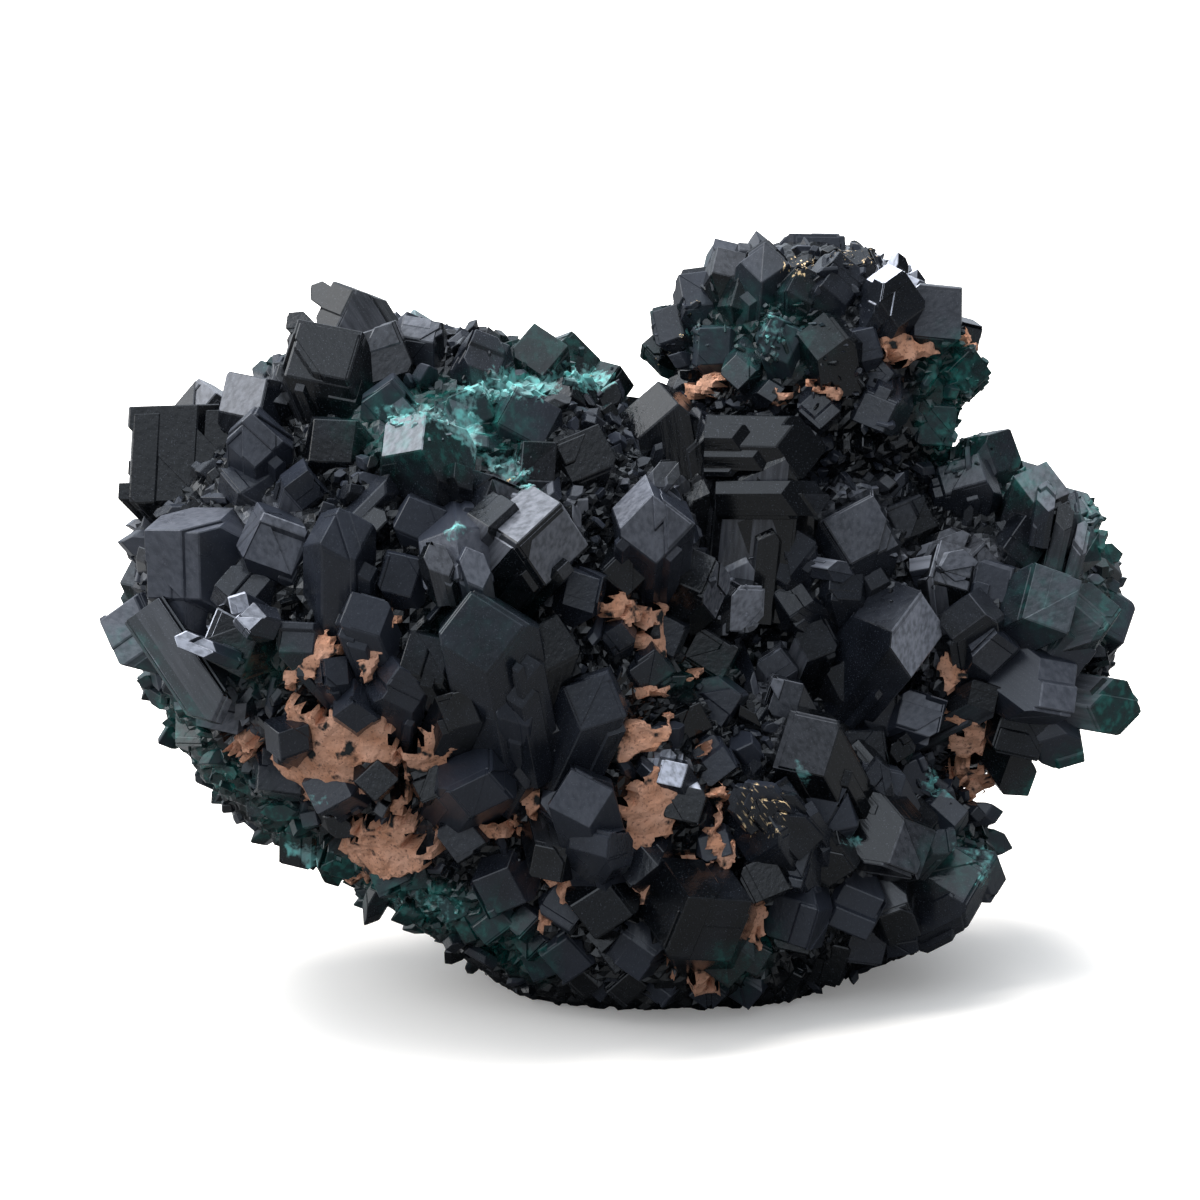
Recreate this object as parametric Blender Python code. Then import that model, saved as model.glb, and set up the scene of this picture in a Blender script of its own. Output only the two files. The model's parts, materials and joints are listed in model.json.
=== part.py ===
"""Dioptase specimen: a lumpy mass of stout green crystals with tan matrix showing between them.

The mass is a rounded body of five main lobes. Each crystal is a six-sided prism under a low
three-faced crown, rooted in that body and fused with it. The matrix is a thin web that fills
the gaps between the crystals on the lower front, the right lobe and the knob.

Sizes below are in millimetres. Meshes are made in metres, +Z up, and the specimen stands on a
flat foot at z = 0. Its front faces -Y.
"""
import math
import random
from typing import NamedTuple

import bmesh
import bpy
import numpy as np
from mathutils import Matrix, Vector

MM = 0.001

# The line of sight that the front crystals are placed along
SIGHT_ELEVATION = math.radians(12.0)
SIGHT_DISTANCE = 298.5
SIGHT_FOCAL = 4500.0
SIGHT_BEFORE = 60.0
SIGHT_BEHIND = 50.0
PICTURE_MIDDLE = 600.0
SIGHT_TARGET = np.array([-1.46, 0.0, 25.35])
FORWARD = np.array([0.0, math.cos(SIGHT_ELEVATION), -math.sin(SIGHT_ELEVATION)])
RIGHT = np.array([1.0, 0.0, 0.0])
UP = np.array([0.0, math.sin(SIGHT_ELEVATION), math.cos(SIGHT_ELEVATION)])
EYE = SIGHT_TARGET - SIGHT_DISTANCE * FORWARD

# The body
BODY_BLEND = 2.2
BODY_VOXEL = 1.5
BODY_TRIANGLES = 480
LUMP_HEIGHT = 0.55
LUMP_WAVE = 5.2
SLOPE_STEP = 0.05

# The crystals
CROWN_SLOPE = math.tan(math.radians(51.0))
APEX_SHARE = 0.62
ROOT_DEPTH = 1.3
LONGEST_CRYSTAL = 13.0
UNEVEN = 0.11
DEFAULT_OUT = 0.30
SEED = 41
FLAT_ANGLE = math.radians(0.4)
NEAR_POINTS = 2e-6

# A smaller crystal on the side of a larger one, as shares of the larger one's width
STEP_ACROSS = 0.36
STEP_DOWN = 0.22
STEP_SIZE = 0.66

# Crystals spread over the back, the sides and the top
BODY_MIDDLE = np.array([0.0, 3.0, 22.0])
SPREAD_REACH = 60.0
SPREAD_TRIES = 1500
SPREAD_WIDE = (5.2, 8.4)
SPREAD_TILT = 0.42
SPREAD_SPACING = 0.42
SPREAD_MOST = 59
LOWEST_SPREAD = 4.5
STEEPEST_UNDERSIDE = -0.72
EDGE_CLEARANCE = 0.4
WIDEST_AT_EDGE = 6.0
SUNK_AT_EDGE = 0.34

# The block that the foot is cut flat with
BLOCK_REACH = 60.0
BLOCK_TALL = 80.0

# The matrix web
WEB_INNER = 0.3
WEB_OUTER = 1.35
WEB_NEAR = 45.0
GAP = 0.3
SMALLEST_REMNANT = 3.0


class Lobe(NamedTuple):
    """One rounded lobe of the body: its middle and its half sizes."""
    middle: tuple
    half: tuple


class Grown(NamedTuple):
    """One crystal on the front, as it is seen there.

    col and row give the middle of its crown in the 1200 x 1200 picture. lean is the way that its
    tip points in the picture, clockwise from up, and toward is how far it turns to the viewer,
    both in degrees. roll turns it about its own axis. out is the height of its crown above the
    body and thin narrows it from front to back, both as a share of its width. steps is the
    number of smaller crystals that grew on its side, parallel to it.
    """
    col: float
    row: float
    wide: float
    lean: float
    toward: float
    roll: float
    out: float = DEFAULT_OUT
    thin: float = 1.0
    steps: int = 0


class Crystal(NamedTuple):
    """One crystal in space: the middle of its crown, its axes, its size and its face offsets."""
    crown: np.ndarray
    axes: np.ndarray
    wide: float
    length: float
    thin: float
    crown_shift: tuple
    side_shift: tuple


LOBES = [
    Lobe((-12.5, -2.0, 25.5), (18.6, 17.0, 15.6)),
    Lobe((-14.0, 3.0, 28.0), (16.5, 14.0, 14.0)),
    Lobe((2.2, 0.5, 10.2), (16.0, 15.5, 12.9)),
    Lobe((-5.0, -2.6, 15.6), (15.0, 14.0, 13.2)),
    Lobe((-14.4, 0.0, 16.8), (11.0, 12.0, 9.2)),
    Lobe((13.0, 6.0, 38.9), (9.2, 8.6, 8.4)),
    Lobe((10.0, 6.0, 25.0), (13.0, 11.0, 13.0)),
    Lobe((23.9, 8.0, 22.6), (8.8, 11.0, 10.0)),
    Lobe((14.8, 1.0, 7.8), (8.4, 10.0, 7.0)),
]

# Upper left of the main mass
UPPER_LEFT = [
    Grown(col=162, row=440, wide=10.2, lean=318, toward=38, roll=4, out=0.3),
    Grown(col=206, row=402, wide=4.6, lean=342, toward=10, roll=90, out=0.5, thin=0.7),
    Grown(col=262, row=398, wide=5.8, lean=75, toward=48, roll=60, out=0.35, thin=0.8),
    Grown(col=257, row=432, wide=4.9, lean=0, toward=42, roll=0, out=0.55),
    Grown(col=312, row=352, wide=6.8, lean=338, toward=22, roll=20, out=0.5, steps=1),
    Grown(col=346, row=306, wide=5.0, lean=328, toward=8, roll=90, out=0.8, thin=0.65),
    Grown(col=384, row=342, wide=5.4, lean=25, toward=38, roll=0, out=0.5),
    Grown(col=326, row=436, wide=5.0, lean=320, toward=40, roll=0),
    Grown(col=270, row=528, wide=5.0, lean=345, toward=50, roll=10, out=0.45),
    Grown(col=340, row=528, wide=5.1, lean=2, toward=30, roll=33, out=0.6),
    Grown(col=178, row=545, wide=7.6, lean=298, toward=30, roll=90, out=0.35, thin=0.75, steps=1),
    Grown(col=128, row=626, wide=5.6, lean=285, toward=18, roll=0, out=0.3),
    Grown(col=236, row=480, wide=4.0, lean=300, toward=30, roll=40),
    Grown(col=428, row=342, wide=5.0, lean=40, toward=20, roll=90, out=0.4, thin=0.6),
    Grown(col=392, row=398, wide=4.2, lean=10, toward=45, roll=5),
]

# Top middle of the main mass and the blue-green crystals under it
TOP_MIDDLE = [
    Grown(col=480, row=352, wide=4.4, lean=350, toward=15, roll=30, out=0.6),
    Grown(col=540, row=343, wide=4.8, lean=352, toward=28, roll=0, out=0.55, steps=1),
    Grown(col=570, row=350, wide=4.2, lean=15, toward=20, roll=30, out=0.4),
    Grown(col=430, row=446, wide=6.6, lean=5, toward=36, roll=60, out=0.42, thin=0.8),
    Grown(col=472, row=402, wide=4.4, lean=20, toward=45, roll=0, out=0.35),
    Grown(col=520, row=410, wide=5.0, lean=0, toward=30, roll=30, out=0.3),
    Grown(col=590, row=446, wide=4.6, lean=20, toward=38, roll=0, out=0.45),
    Grown(col=528, row=455, wide=4.0, lean=340, toward=50, roll=30),
    Grown(col=570, row=390, wide=4.2, lean=10, toward=25, roll=60),
    Grown(col=488, row=494, wide=4.4, lean=20, toward=48, roll=60),
    Grown(col=418, row=512, wide=4.2, lean=340, toward=45, roll=0),
]

# Middle of the main mass
MAIN_MIDDLE = [
    Grown(col=546, row=524, wide=6.2, lean=42, toward=38, roll=55, out=0.6, steps=1),
    Grown(col=652, row=508, wide=6.0, lean=318, toward=40, roll=12, out=0.72),
    Grown(col=660, row=412, wide=6.6, lean=350, toward=18, roll=90, out=0.4, thin=0.8, steps=1),
    Grown(col=458, row=566, wide=5.4, lean=180, toward=28, roll=60, out=0.5),
    Grown(col=482, row=622, wide=7.2, lean=350, toward=42, roll=0, out=0.4),
    Grown(col=552, row=634, wide=4.4, lean=15, toward=40, roll=0, out=0.5),
    Grown(col=360, row=608, wide=4.2, lean=340, toward=40, roll=10, out=0.5),
    Grown(col=598, row=692, wide=5.2, lean=25, toward=40, roll=0, out=0.55),
    Grown(col=590, row=586, wide=4.0, lean=60, toward=42, roll=0),
    Grown(col=512, row=690, wide=5.0, lean=350, toward=35, roll=30, out=0.45),
    Grown(col=462, row=700, wide=4.0, lean=20, toward=40, roll=0, out=0.5),
    Grown(col=420, row=646, wide=4.2, lean=330, toward=42, roll=0, out=0.4),
    Grown(col=700, row=575, wide=5.6, lean=50, toward=36, roll=90, out=0.4, thin=0.8),
    Grown(col=742, row=600, wide=5.0, lean=62, toward=20, roll=30, out=0.4, thin=0.7),
    Grown(col=650, row=660, wide=4.4, lean=30, toward=55, roll=30),
    Grown(col=540, row=728, wide=4.2, lean=200, toward=48, roll=0),
    Grown(col=572, row=746, wide=4.2, lean=150, toward=45, roll=0),
    Grown(col=395, row=565, wide=4.0, lean=330, toward=45, roll=0),
    Grown(col=236, row=590, wide=4.6, lean=285, toward=42, roll=30, out=0.4),
    Grown(col=226, row=645, wide=5.6, lean=250, toward=36, roll=0, out=0.35),
]

# Lower front, where the crystals stand apart on the matrix
LOWER_FRONT = [
    Grown(col=184, row=676, wide=5.4, lean=235, toward=20, roll=90, out=0.3, thin=0.6),
    Grown(col=214, row=714, wide=4.8, lean=235, toward=36, roll=0, out=0.12),
    Grown(col=284, row=736, wide=4.4, lean=0, toward=44, roll=0, out=0.55),
    Grown(col=272, row=780, wide=4.6, lean=230, toward=50, roll=0, out=0.3),
    Grown(col=354, row=704, wide=4.4, lean=15, toward=42, roll=0, out=0.55),
    Grown(col=398, row=680, wide=4.2, lean=10, toward=44, roll=30, out=0.5),
    Grown(col=376, row=786, wide=4.0, lean=180, toward=42, roll=0, out=0.6),
    Grown(col=330, row=800, wide=4.8, lean=215, toward=36, roll=30, out=0.4),
    Grown(col=482, row=776, wide=5.6, lean=15, toward=24, roll=30, out=0.5),
    Grown(col=428, row=790, wide=4.2, lean=200, toward=46, roll=0, out=0.45),
    Grown(col=578, row=786, wide=4.6, lean=345, toward=42, roll=0, out=0.6),
    Grown(col=604, row=842, wide=5.6, lean=12, toward=22, roll=90, out=0.55, thin=0.65),
    Grown(col=558, row=866, wide=4.4, lean=165, toward=38, roll=30, out=0.4),
    Grown(col=690, row=812, wide=4.2, lean=150, toward=44, roll=0, out=0.5),
    Grown(col=690, row=905, wide=7.4, lean=335, toward=40, roll=10, out=0.5),
    Grown(col=636, row=872, wide=4.6, lean=205, toward=44, roll=30, out=0.35),
    Grown(col=600, row=918, wide=5.4, lean=190, toward=36, roll=0, out=0.35),
    Grown(col=640, row=958, wide=5.0, lean=185, toward=24, roll=30, out=0.3),
    Grown(col=728, row=700, wide=4.2, lean=80, toward=48, roll=0),
    Grown(col=720, row=762, wide=4.2, lean=100, toward=46, roll=0),
    Grown(col=722, row=652, wide=4.4, lean=75, toward=40, roll=0),
    Grown(col=462, row=846, wide=4.4, lean=190, toward=42, roll=0, out=0.25),
    Grown(col=498, row=900, wide=4.6, lean=200, toward=30, roll=0, out=0.25),
    Grown(col=392, row=880, wide=4.8, lean=215, toward=24, roll=30, out=0.25),
    Grown(col=332, row=858, wide=4.0, lean=225, toward=24, roll=90, out=0.45, thin=0.6),
    Grown(col=726, row=968, wide=4.8, lean=175, toward=26, roll=0, out=0.3),
]

# The valley between the main mass and the right lobe
VALLEY = [
    Grown(col=762, row=466, wide=8.2, lean=5, toward=20, roll=90, out=0.35, thin=0.7, steps=1),
    Grown(col=864, row=520, wide=6.2, lean=15, toward=42, roll=0, out=0.35),
    Grown(col=780, row=540, wide=5.0, lean=350, toward=45, roll=0, out=0.3),
    Grown(col=904, row=614, wide=6.6, lean=38, toward=34, roll=60, out=0.42),
    Grown(col=802, row=735, wide=6.0, lean=330, toward=40, roll=0, out=0.45),
    Grown(col=852, row=668, wide=4.0, lean=20, toward=46, roll=0),
    Grown(col=872, row=742, wide=4.4, lean=40, toward=42, roll=0, out=0.35),
    Grown(col=884, row=700, wide=4.4, lean=20, toward=44, roll=30, out=0.35),
    Grown(col=930, row=708, wide=4.6, lean=60, toward=32, roll=0, out=0.45),
    Grown(col=942, row=560, wide=4.6, lean=350, toward=36, roll=30, out=0.35),
    Grown(col=916, row=508, wide=4.2, lean=20, toward=44, roll=0, out=0.3),
    Grown(col=872, row=780, wide=4.4, lean=330, toward=40, roll=0, out=0.35),
    Grown(col=912, row=770, wide=4.2, lean=40, toward=36, roll=30, out=0.35),
]

# The knob
KNOB = [
    Grown(col=722, row=266, wide=4.2, lean=342, toward=15, roll=30, out=0.5),
    Grown(col=764, row=262, wide=4.0, lean=5, toward=18, roll=0, out=0.5),
    Grown(col=690, row=290, wide=4.2, lean=322, toward=22, roll=30, out=0.5),
    Grown(col=668, row=324, wide=4.2, lean=300, toward=20, roll=0, out=0.45),
    Grown(col=972, row=372, wide=4.2, lean=95, toward=20, roll=0, out=0.5),
    Grown(col=836, row=272, wide=4.2, lean=10, toward=30, roll=30, out=0.4),
    Grown(col=900, row=286, wide=4.8, lean=28, toward=40, roll=30, out=0.7, thin=0.8),
    Grown(col=942, row=306, wide=5.2, lean=48, toward=40, roll=0, out=0.55),
    Grown(col=828, row=332, wide=4.6, lean=350, toward=34, roll=90, thin=0.8),
    Grown(col=778, row=330, wide=4.0, lean=340, toward=44, roll=0),
    Grown(col=708, row=340, wide=4.0, lean=315, toward=45, roll=0),
    Grown(col=940, row=432, wide=4.4, lean=140, toward=35, roll=0, out=0.25),
    Grown(col=880, row=420, wide=4.2, lean=180, toward=45, roll=30, out=0.2),
]

# The right lobe
RIGHT_LOBE = [
    Grown(col=972, row=474, wide=5.0, lean=12, toward=34, roll=90, out=0.5, thin=0.7),
    Grown(col=996, row=446, wide=4.4, lean=38, toward=8, roll=30, out=0.6),
    Grown(col=1038, row=484, wide=4.8, lean=15, toward=12, roll=0, out=0.6),
    Grown(col=1066, row=510, wide=4.6, lean=30, toward=10, roll=90, out=0.6, thin=0.7),
    Grown(col=1078, row=538, wide=4.8, lean=52, toward=14, roll=30, out=0.35, thin=0.85),
    Grown(col=1022, row=532, wide=4.6, lean=10, toward=40, roll=30),
    Grown(col=1058, row=596, wide=6.4, lean=62, toward=36, roll=0, out=0.35),
    Grown(col=1096, row=616, wide=5.0, lean=72, toward=12, roll=90, out=0.5, thin=0.8),
    Grown(col=968, row=610, wide=4.8, lean=350, toward=30, roll=90, out=0.45, thin=0.8, steps=1),
    Grown(col=992, row=640, wide=4.2, lean=15, toward=34, roll=30, out=0.4),
    Grown(col=1050, row=698, wide=6.0, lean=128, toward=26, roll=90, out=0.4, thin=0.7),
    Grown(col=1026, row=740, wide=5.2, lean=150, toward=34, roll=0, out=0.35),
    Grown(col=1112, row=706, wide=5.8, lean=100, toward=4, roll=0, out=0.5, thin=0.7),
    Grown(col=1064, row=742, wide=5.0, lean=132, toward=6, roll=30, out=0.5, thin=0.7),
    Grown(col=1018, row=778, wide=4.8, lean=146, toward=8, roll=0, out=0.5, thin=0.8),
    Grown(col=1072, row=650, wide=4.8, lean=95, toward=30, roll=30),
    Grown(col=976, row=556, wide=4.0, lean=20, toward=44, roll=30),
]

# The lower right corner and the dark crystals beside the foot
LOWER_RIGHT = [
    Grown(col=962, row=878, wide=6.0, lean=60, toward=30, roll=90, out=0.35, thin=0.85),
    Grown(col=900, row=856, wide=6.0, lean=140, toward=26, roll=90, out=0.4, thin=0.7),
    Grown(col=764, row=812, wide=6.0, lean=318, toward=34, roll=60, out=0.3),
    Grown(col=836, row=800, wide=4.6, lean=30, toward=44, roll=0),
    Grown(col=838, row=858, wide=4.6, lean=120, toward=42, roll=30),
    Grown(col=790, row=870, wide=4.8, lean=150, toward=44, roll=0),
    Grown(col=860, row=920, wide=5.0, lean=160, toward=34, roll=0, out=0.25),
    Grown(col=800, row=928, wide=5.0, lean=170, toward=38, roll=30, out=0.25),
    Grown(col=760, row=890, wide=4.2, lean=200, toward=46, roll=0),
    Grown(col=950, row=816, wide=4.2, lean=70, toward=30, roll=90, out=0.3, thin=0.7),
    Grown(col=912, row=812, wide=4.0, lean=20, toward=36, roll=30, out=0.3),
    Grown(col=905, row=918, wide=4.6, lean=130, toward=22, roll=30, out=0.25),
]

FRONT_CRYSTALS = (UPPER_LEFT + TOP_MIDDLE + MAIN_MIDDLE + LOWER_FRONT + VALLEY + KNOB
                  + RIGHT_LOBE + LOWER_RIGHT)


class Web(NamedTuple):
    """A stretch of matrix that the crystals part into pieces.

    names holds the pieces' names, largest first. outline is the stretch's edge as it is seen on
    the front, in the 1200 x 1200 picture, and depth is how far it goes past the middle.
    """
    names: tuple
    outline: list
    depth: float


WEBS = [
    Web(("matrix_front_middle", "matrix_front_lower", "matrix_front_left"),
        [(262, 716), (318, 618), (402, 596), (436, 668), (540, 660), (590, 584), (668, 590),
         (664, 676), (708, 674), (742, 786), (738, 880), (772, 916), (752, 950), (704, 984),
         (640, 962), (560, 912), (520, 880), (418, 872), (340, 846), (300, 792)], 4.0),
    Web(("matrix_right",),
        [(932, 655), (958, 642), (996, 705), (1012, 780), (980, 806), (942, 786), (936, 742)], 9.0),
    Web(("matrix_knob",),
        [(696, 366), (738, 362), (762, 382), (800, 372), (838, 346), (862, 326), (920, 330),
         (948, 314), (980, 326), (974, 360), (930, 380), (880, 382), (846, 402), (782, 408),
         (742, 394), (704, 404)], 6.5),
]


def body_distance(points):
    """Signed distance in mm from points to the smooth body, negative inside it.

    Args:
        points: array of positions in mm, its last axis holding x, y and z.
    Returns:
        Array of distances, one for each position.
    """
    distance = None
    for lobe in LOBES:
        offset = points - np.array(lobe.middle)
        half = np.array(lobe.half)
        reach = np.linalg.norm(offset / half, axis=-1)
        slope = np.linalg.norm(offset / (half * half), axis=-1) + 1e-9
        piece = reach * (reach - 1.0) / slope
        if distance is None:
            distance = piece
            continue
        share = np.clip(0.5 + 0.5 * (distance - piece) / BODY_BLEND, 0.0, 1.0)
        blend = BODY_BLEND * share * (1.0 - share)
        distance = distance * (1.0 - share) + piece * share - blend
    return distance


def body_normal(points):
    """Outward direction of the body's surface near points."""
    step = SLOPE_STEP
    slopes = []
    for axis in range(3):
        shift = np.zeros(3)
        shift[axis] = step
        slopes.append(body_distance(points + shift) - body_distance(points - shift))
    normal = np.stack(slopes, -1)
    return normal / np.linalg.norm(normal, axis=-1, keepdims=True)


def lumps(points):
    """Low waves that make the body's surface uneven, in mm."""
    x, y, z = (points / LUMP_WAVE).T
    wave = np.sin(x * 1.7 + 0.6) * np.sin(y * 1.9 + 1.3) + np.sin(z * 2.1 + x * 0.8) * 0.7
    return LUMP_HEIGHT * wave


def sight_ray(col, row):
    """Direction of the line of sight through one place in the picture."""
    across = (col - PICTURE_MIDDLE) * RIGHT
    down = (row - PICTURE_MIDDLE) * UP
    ray = SIGHT_FOCAL * FORWARD + across - down
    return ray / np.linalg.norm(ray)


def place_on_ray(col, row, height):
    """Find where a line of sight comes within a height of the body, or nearest to it.

    Args:
        col, row: the place in the picture.
        height: height above the body in mm.
    Returns:
        The position in mm.
    """
    ray = sight_ray(col, row)
    travel = np.arange(SIGHT_DISTANCE - SIGHT_BEFORE, SIGHT_DISTANCE + SIGHT_BEHIND, 0.1)
    points = EYE + ray * travel[:, None]
    distance = body_distance(points)
    inside = np.nonzero(distance <= height)[0]
    return points[inside[0]] if len(inside) else points[np.argmin(distance)]


def axes_from(direction, roll):
    """Axes of a crystal whose tip points along a direction, turned by roll degrees about it."""
    tip = direction / np.linalg.norm(direction)
    side = -FORWARD - tip * np.dot(-FORWARD, tip)
    if np.linalg.norm(side) < 1e-3:
        side = UP - tip * np.dot(UP, tip)
    side = side / np.linalg.norm(side)
    third = np.cross(tip, side)
    turn = math.radians(roll)
    first = side * math.cos(turn) + third * math.sin(turn)
    return np.stack([first, np.cross(tip, first), tip])


def length_to_body(crown, tip):
    """How far a crystal reaches down its axis from its crown to be rooted in the body."""
    for length in np.arange(0.6, LONGEST_CRYSTAL, 0.1):
        if body_distance(crown - tip * length) < -ROOT_DEPTH:
            return length
    return None


def make_crystal(crown, direction, roll, wide, thin, rng):
    """Root a crystal in the body, leaning it to the surface where its axis would miss.

    Args:
        crown: middle of its crown in mm.
        direction: way that its tip points.
        roll: turn about its axis in degrees.
        wide: width from corner to corner in mm.
        thin: share of the width left from front to back.
        rng: source of the small unevenness of its faces.
    Returns:
        The crystal.
    """
    normal = body_normal(crown)
    for lean in (0.0, 0.25, 0.5, 0.75, 1.0):
        mixed = direction * (1.0 - lean) + normal * lean
        axes = axes_from(mixed, roll)
        length = length_to_body(crown, axes[2])
        if length is not None:
            break
    if length is None:
        length = LONGEST_CRYSTAL
    crown_shift = tuple(rng.uniform(-UNEVEN, UNEVEN) for _ in range(3))
    side_shift = tuple(rng.uniform(-UNEVEN, UNEVEN) for _ in range(6))
    return Crystal(crown, axes, wide, length, thin, crown_shift, side_shift)


def crystal_planes(crystal, grow=0.0):
    """Face directions and offsets of a crystal about its crown, each moved out by grow mm."""
    radius = crystal.wide / 2.0
    planes = []
    for index in range(3):
        angle = math.radians(120.0 * index)
        normal = np.array([CROWN_SLOPE * math.cos(angle), CROWN_SLOPE * math.sin(angle), 1.0])
        size = np.linalg.norm(normal)
        apex = radius * CROWN_SLOPE * APEX_SHARE * (1.0 + crystal.crown_shift[index])
        planes.append((normal / size, apex / size + grow))
    for index in range(6):
        degrees = 30.0 + 60.0 * index
        angle = math.radians(degrees)
        normal = np.array([math.cos(angle), math.sin(angle), 0.0])
        share = crystal.thin if degrees in (90.0, 270.0) else 1.0
        apothem = radius * math.cos(math.radians(30.0)) * share
        planes.append((normal, apothem * (1.0 + crystal.side_shift[index]) + grow))
    planes.append((np.array([0.0, 0.0, -1.0]), crystal.length + grow))
    return planes


def crystal_corners(crystal, grow=0.0):
    """Corners of a crystal in mm, from where its planes meet."""
    planes = crystal_planes(crystal, grow)
    normals = np.array([normal for normal, _ in planes])
    offsets = np.array([offset for _, offset in planes])
    corners = []
    count = len(planes)
    for a in range(count):
        for b in range(a + 1, count):
            for c in range(b + 1, count):
                trio = normals[[a, b, c]]
                if abs(np.linalg.det(trio)) < 1e-4:
                    continue
                point = np.linalg.solve(trio, offsets[[a, b, c]])
                if np.all(normals @ point <= offsets + 1e-6):
                    corners.append(point)
    return crystal.crown + np.array(corners) @ crystal.axes


def front_crystals(rng):
    """Place every crystal that the front shows, with the small ones grown on their sides."""
    crystals = []
    for grown in FRONT_CRYSTALS:
        crown = place_on_ray(grown.col, grown.row, grown.out * grown.wide)
        lean = math.radians(grown.lean)
        toward = math.radians(grown.toward)
        flat = math.sin(lean) * RIGHT + math.cos(lean) * UP
        direction = math.cos(toward) * flat - math.sin(toward) * FORWARD
        main = make_crystal(crown, direction, grown.roll, grown.wide, grown.thin, rng)
        crystals.append(main)
        for _ in range(grown.steps):
            turn = rng.uniform(0.0, 2.0 * math.pi)
            across = main.axes[0] * math.cos(turn) + main.axes[1] * math.sin(turn)
            shift = across * STEP_ACROSS - main.axes[2] * STEP_DOWN
            crystals.append(make_crystal(crown + shift * grown.wide, main.axes[2], grown.roll,
                                         grown.wide * STEP_SIZE, grown.thin, rng))
    return crystals


def edge_clearance(point):
    """How far the line of sight through a point passes outside the body, in mm."""
    ray = (point - EYE) / np.linalg.norm(point - EYE)
    travel = np.arange(SIGHT_DISTANCE - SIGHT_BEFORE, SIGHT_DISTANCE + SIGHT_BEHIND, 0.5)
    return body_distance(EYE + ray * travel[:, None]).min()


def spread_place(rng):
    """Draw one place for a crystal on the back, a side or the top.

    Returns:
        The middle of its crown, its direction, width and roll, or None where none can grow.
    """
    height = rng.uniform(-0.8, 1.0)
    angle = rng.uniform(0.0, 2.0 * math.pi)
    level = math.sqrt(1.0 - height * height)
    ray = np.array([level * math.cos(angle), level * math.sin(angle), height])
    wide = rng.uniform(*SPREAD_WIDE)
    roll = rng.uniform(0.0, 120.0)
    tilt = np.array([rng.gauss(0.0, SPREAD_TILT) for _ in range(3)])
    travel = np.arange(SPREAD_REACH, 0.0, -0.25)
    points = BODY_MIDDLE + ray * travel[:, None]
    near = np.nonzero(body_distance(points) <= wide * DEFAULT_OUT)[0]
    crown = points[near[0]]
    normal = body_normal(crown)
    if crown[2] < LOWEST_SPREAD or normal[2] < STEEPEST_UNDERSIDE:
        return None
    if edge_clearance(crown) > EDGE_CLEARANCE:
        wide = min(wide, WIDEST_AT_EDGE)
        crown = crown - normal * wide * SUNK_AT_EDGE
    return crown, normal + tilt, wide, roll


def spread_crystals(taken, rng):
    """Spread crystals over the rest of the body, each in the widest gap that is left."""
    places = [spread_place(rng) for _ in range(SPREAD_TRIES)]
    places = [place for place in places if place]
    crowns = np.array([place[0] for place in places])
    widths = np.array([place[2] for place in places])
    gaps = np.full(len(places), np.inf)
    for crystal in taken:
        reach = np.linalg.norm(crowns - crystal.crown, axis=-1) / (widths + crystal.wide)
        gaps = np.minimum(gaps, reach)
    crystals = []
    for _ in range(SPREAD_MOST):
        widest = int(np.argmax(gaps))
        if gaps[widest] < SPREAD_SPACING:
            break
        crown, direction, wide, roll = places[widest]
        crystals.append(make_crystal(crown, direction, roll, wide, 1.0, rng))
        reach = np.linalg.norm(crowns - crown, axis=-1) / (widths + wide)
        gaps = np.minimum(gaps, reach)
    return crystals


def clear_scene():
    """Remove every object of the opening scene."""
    for thing in list(bpy.data.objects):
        bpy.data.objects.remove(thing, do_unlink=True)


def add_object(name, bm):
    """Turn a bmesh into a named object of the scene."""
    mesh = bpy.data.meshes.new(name)
    bm.to_mesh(mesh)
    bm.free()
    thing = bpy.data.objects.new(name, mesh)
    bpy.context.scene.collection.objects.link(thing)
    return thing


def add_cutter(name, bm):
    """Turn a bmesh into a guide that other shapes are cut or joined with."""
    cutter = add_object(name, bm)
    cutter.display_type = "WIRE"
    cutter.hide_render = True
    return cutter


def merge_flat_faces(bm):
    """Merge faces that lie in one plane."""
    bmesh.ops.dissolve_limit(bm, angle_limit=FLAT_ANGLE, use_dissolve_boundaries=False,
                             verts=bm.verts[:], edges=bm.edges[:])


def add_hull(bm, corners):
    """Add one closed convex solid with the given corners, in mm."""
    verts = [bm.verts.new(Vector(corner) * MM) for corner in corners]
    bmesh.ops.remove_doubles(bm, verts=verts, dist=1e-6)
    verts = [vert for vert in verts if vert.is_valid]
    bmesh.ops.convex_hull(bm, input=verts)
    merge_flat_faces(bm)


def crystals_object(name, crystals, grow=0.0):
    """Make one guide that holds every crystal, each a closed solid of its own."""
    bm = bmesh.new()
    for crystal in crystals:
        one = bmesh.new()
        add_hull(one, crystal_corners(crystal, grow))
        bmesh.ops.recalc_face_normals(one, faces=one.faces[:])
        part = bpy.data.meshes.new("one_crystal")
        one.to_mesh(part)
        one.free()
        bm.from_mesh(part)
        bpy.data.meshes.remove(part)
    return add_cutter(name, bm)


def evaluated_bmesh(thing):
    """The object's mesh after its modifiers, as a bmesh."""
    graph = bpy.context.evaluated_depsgraph_get()
    mesh = thing.evaluated_get(graph).to_mesh()
    bm = bmesh.new()
    bm.from_mesh(mesh)
    thing.evaluated_get(graph).to_mesh_clear()
    return bm


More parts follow.
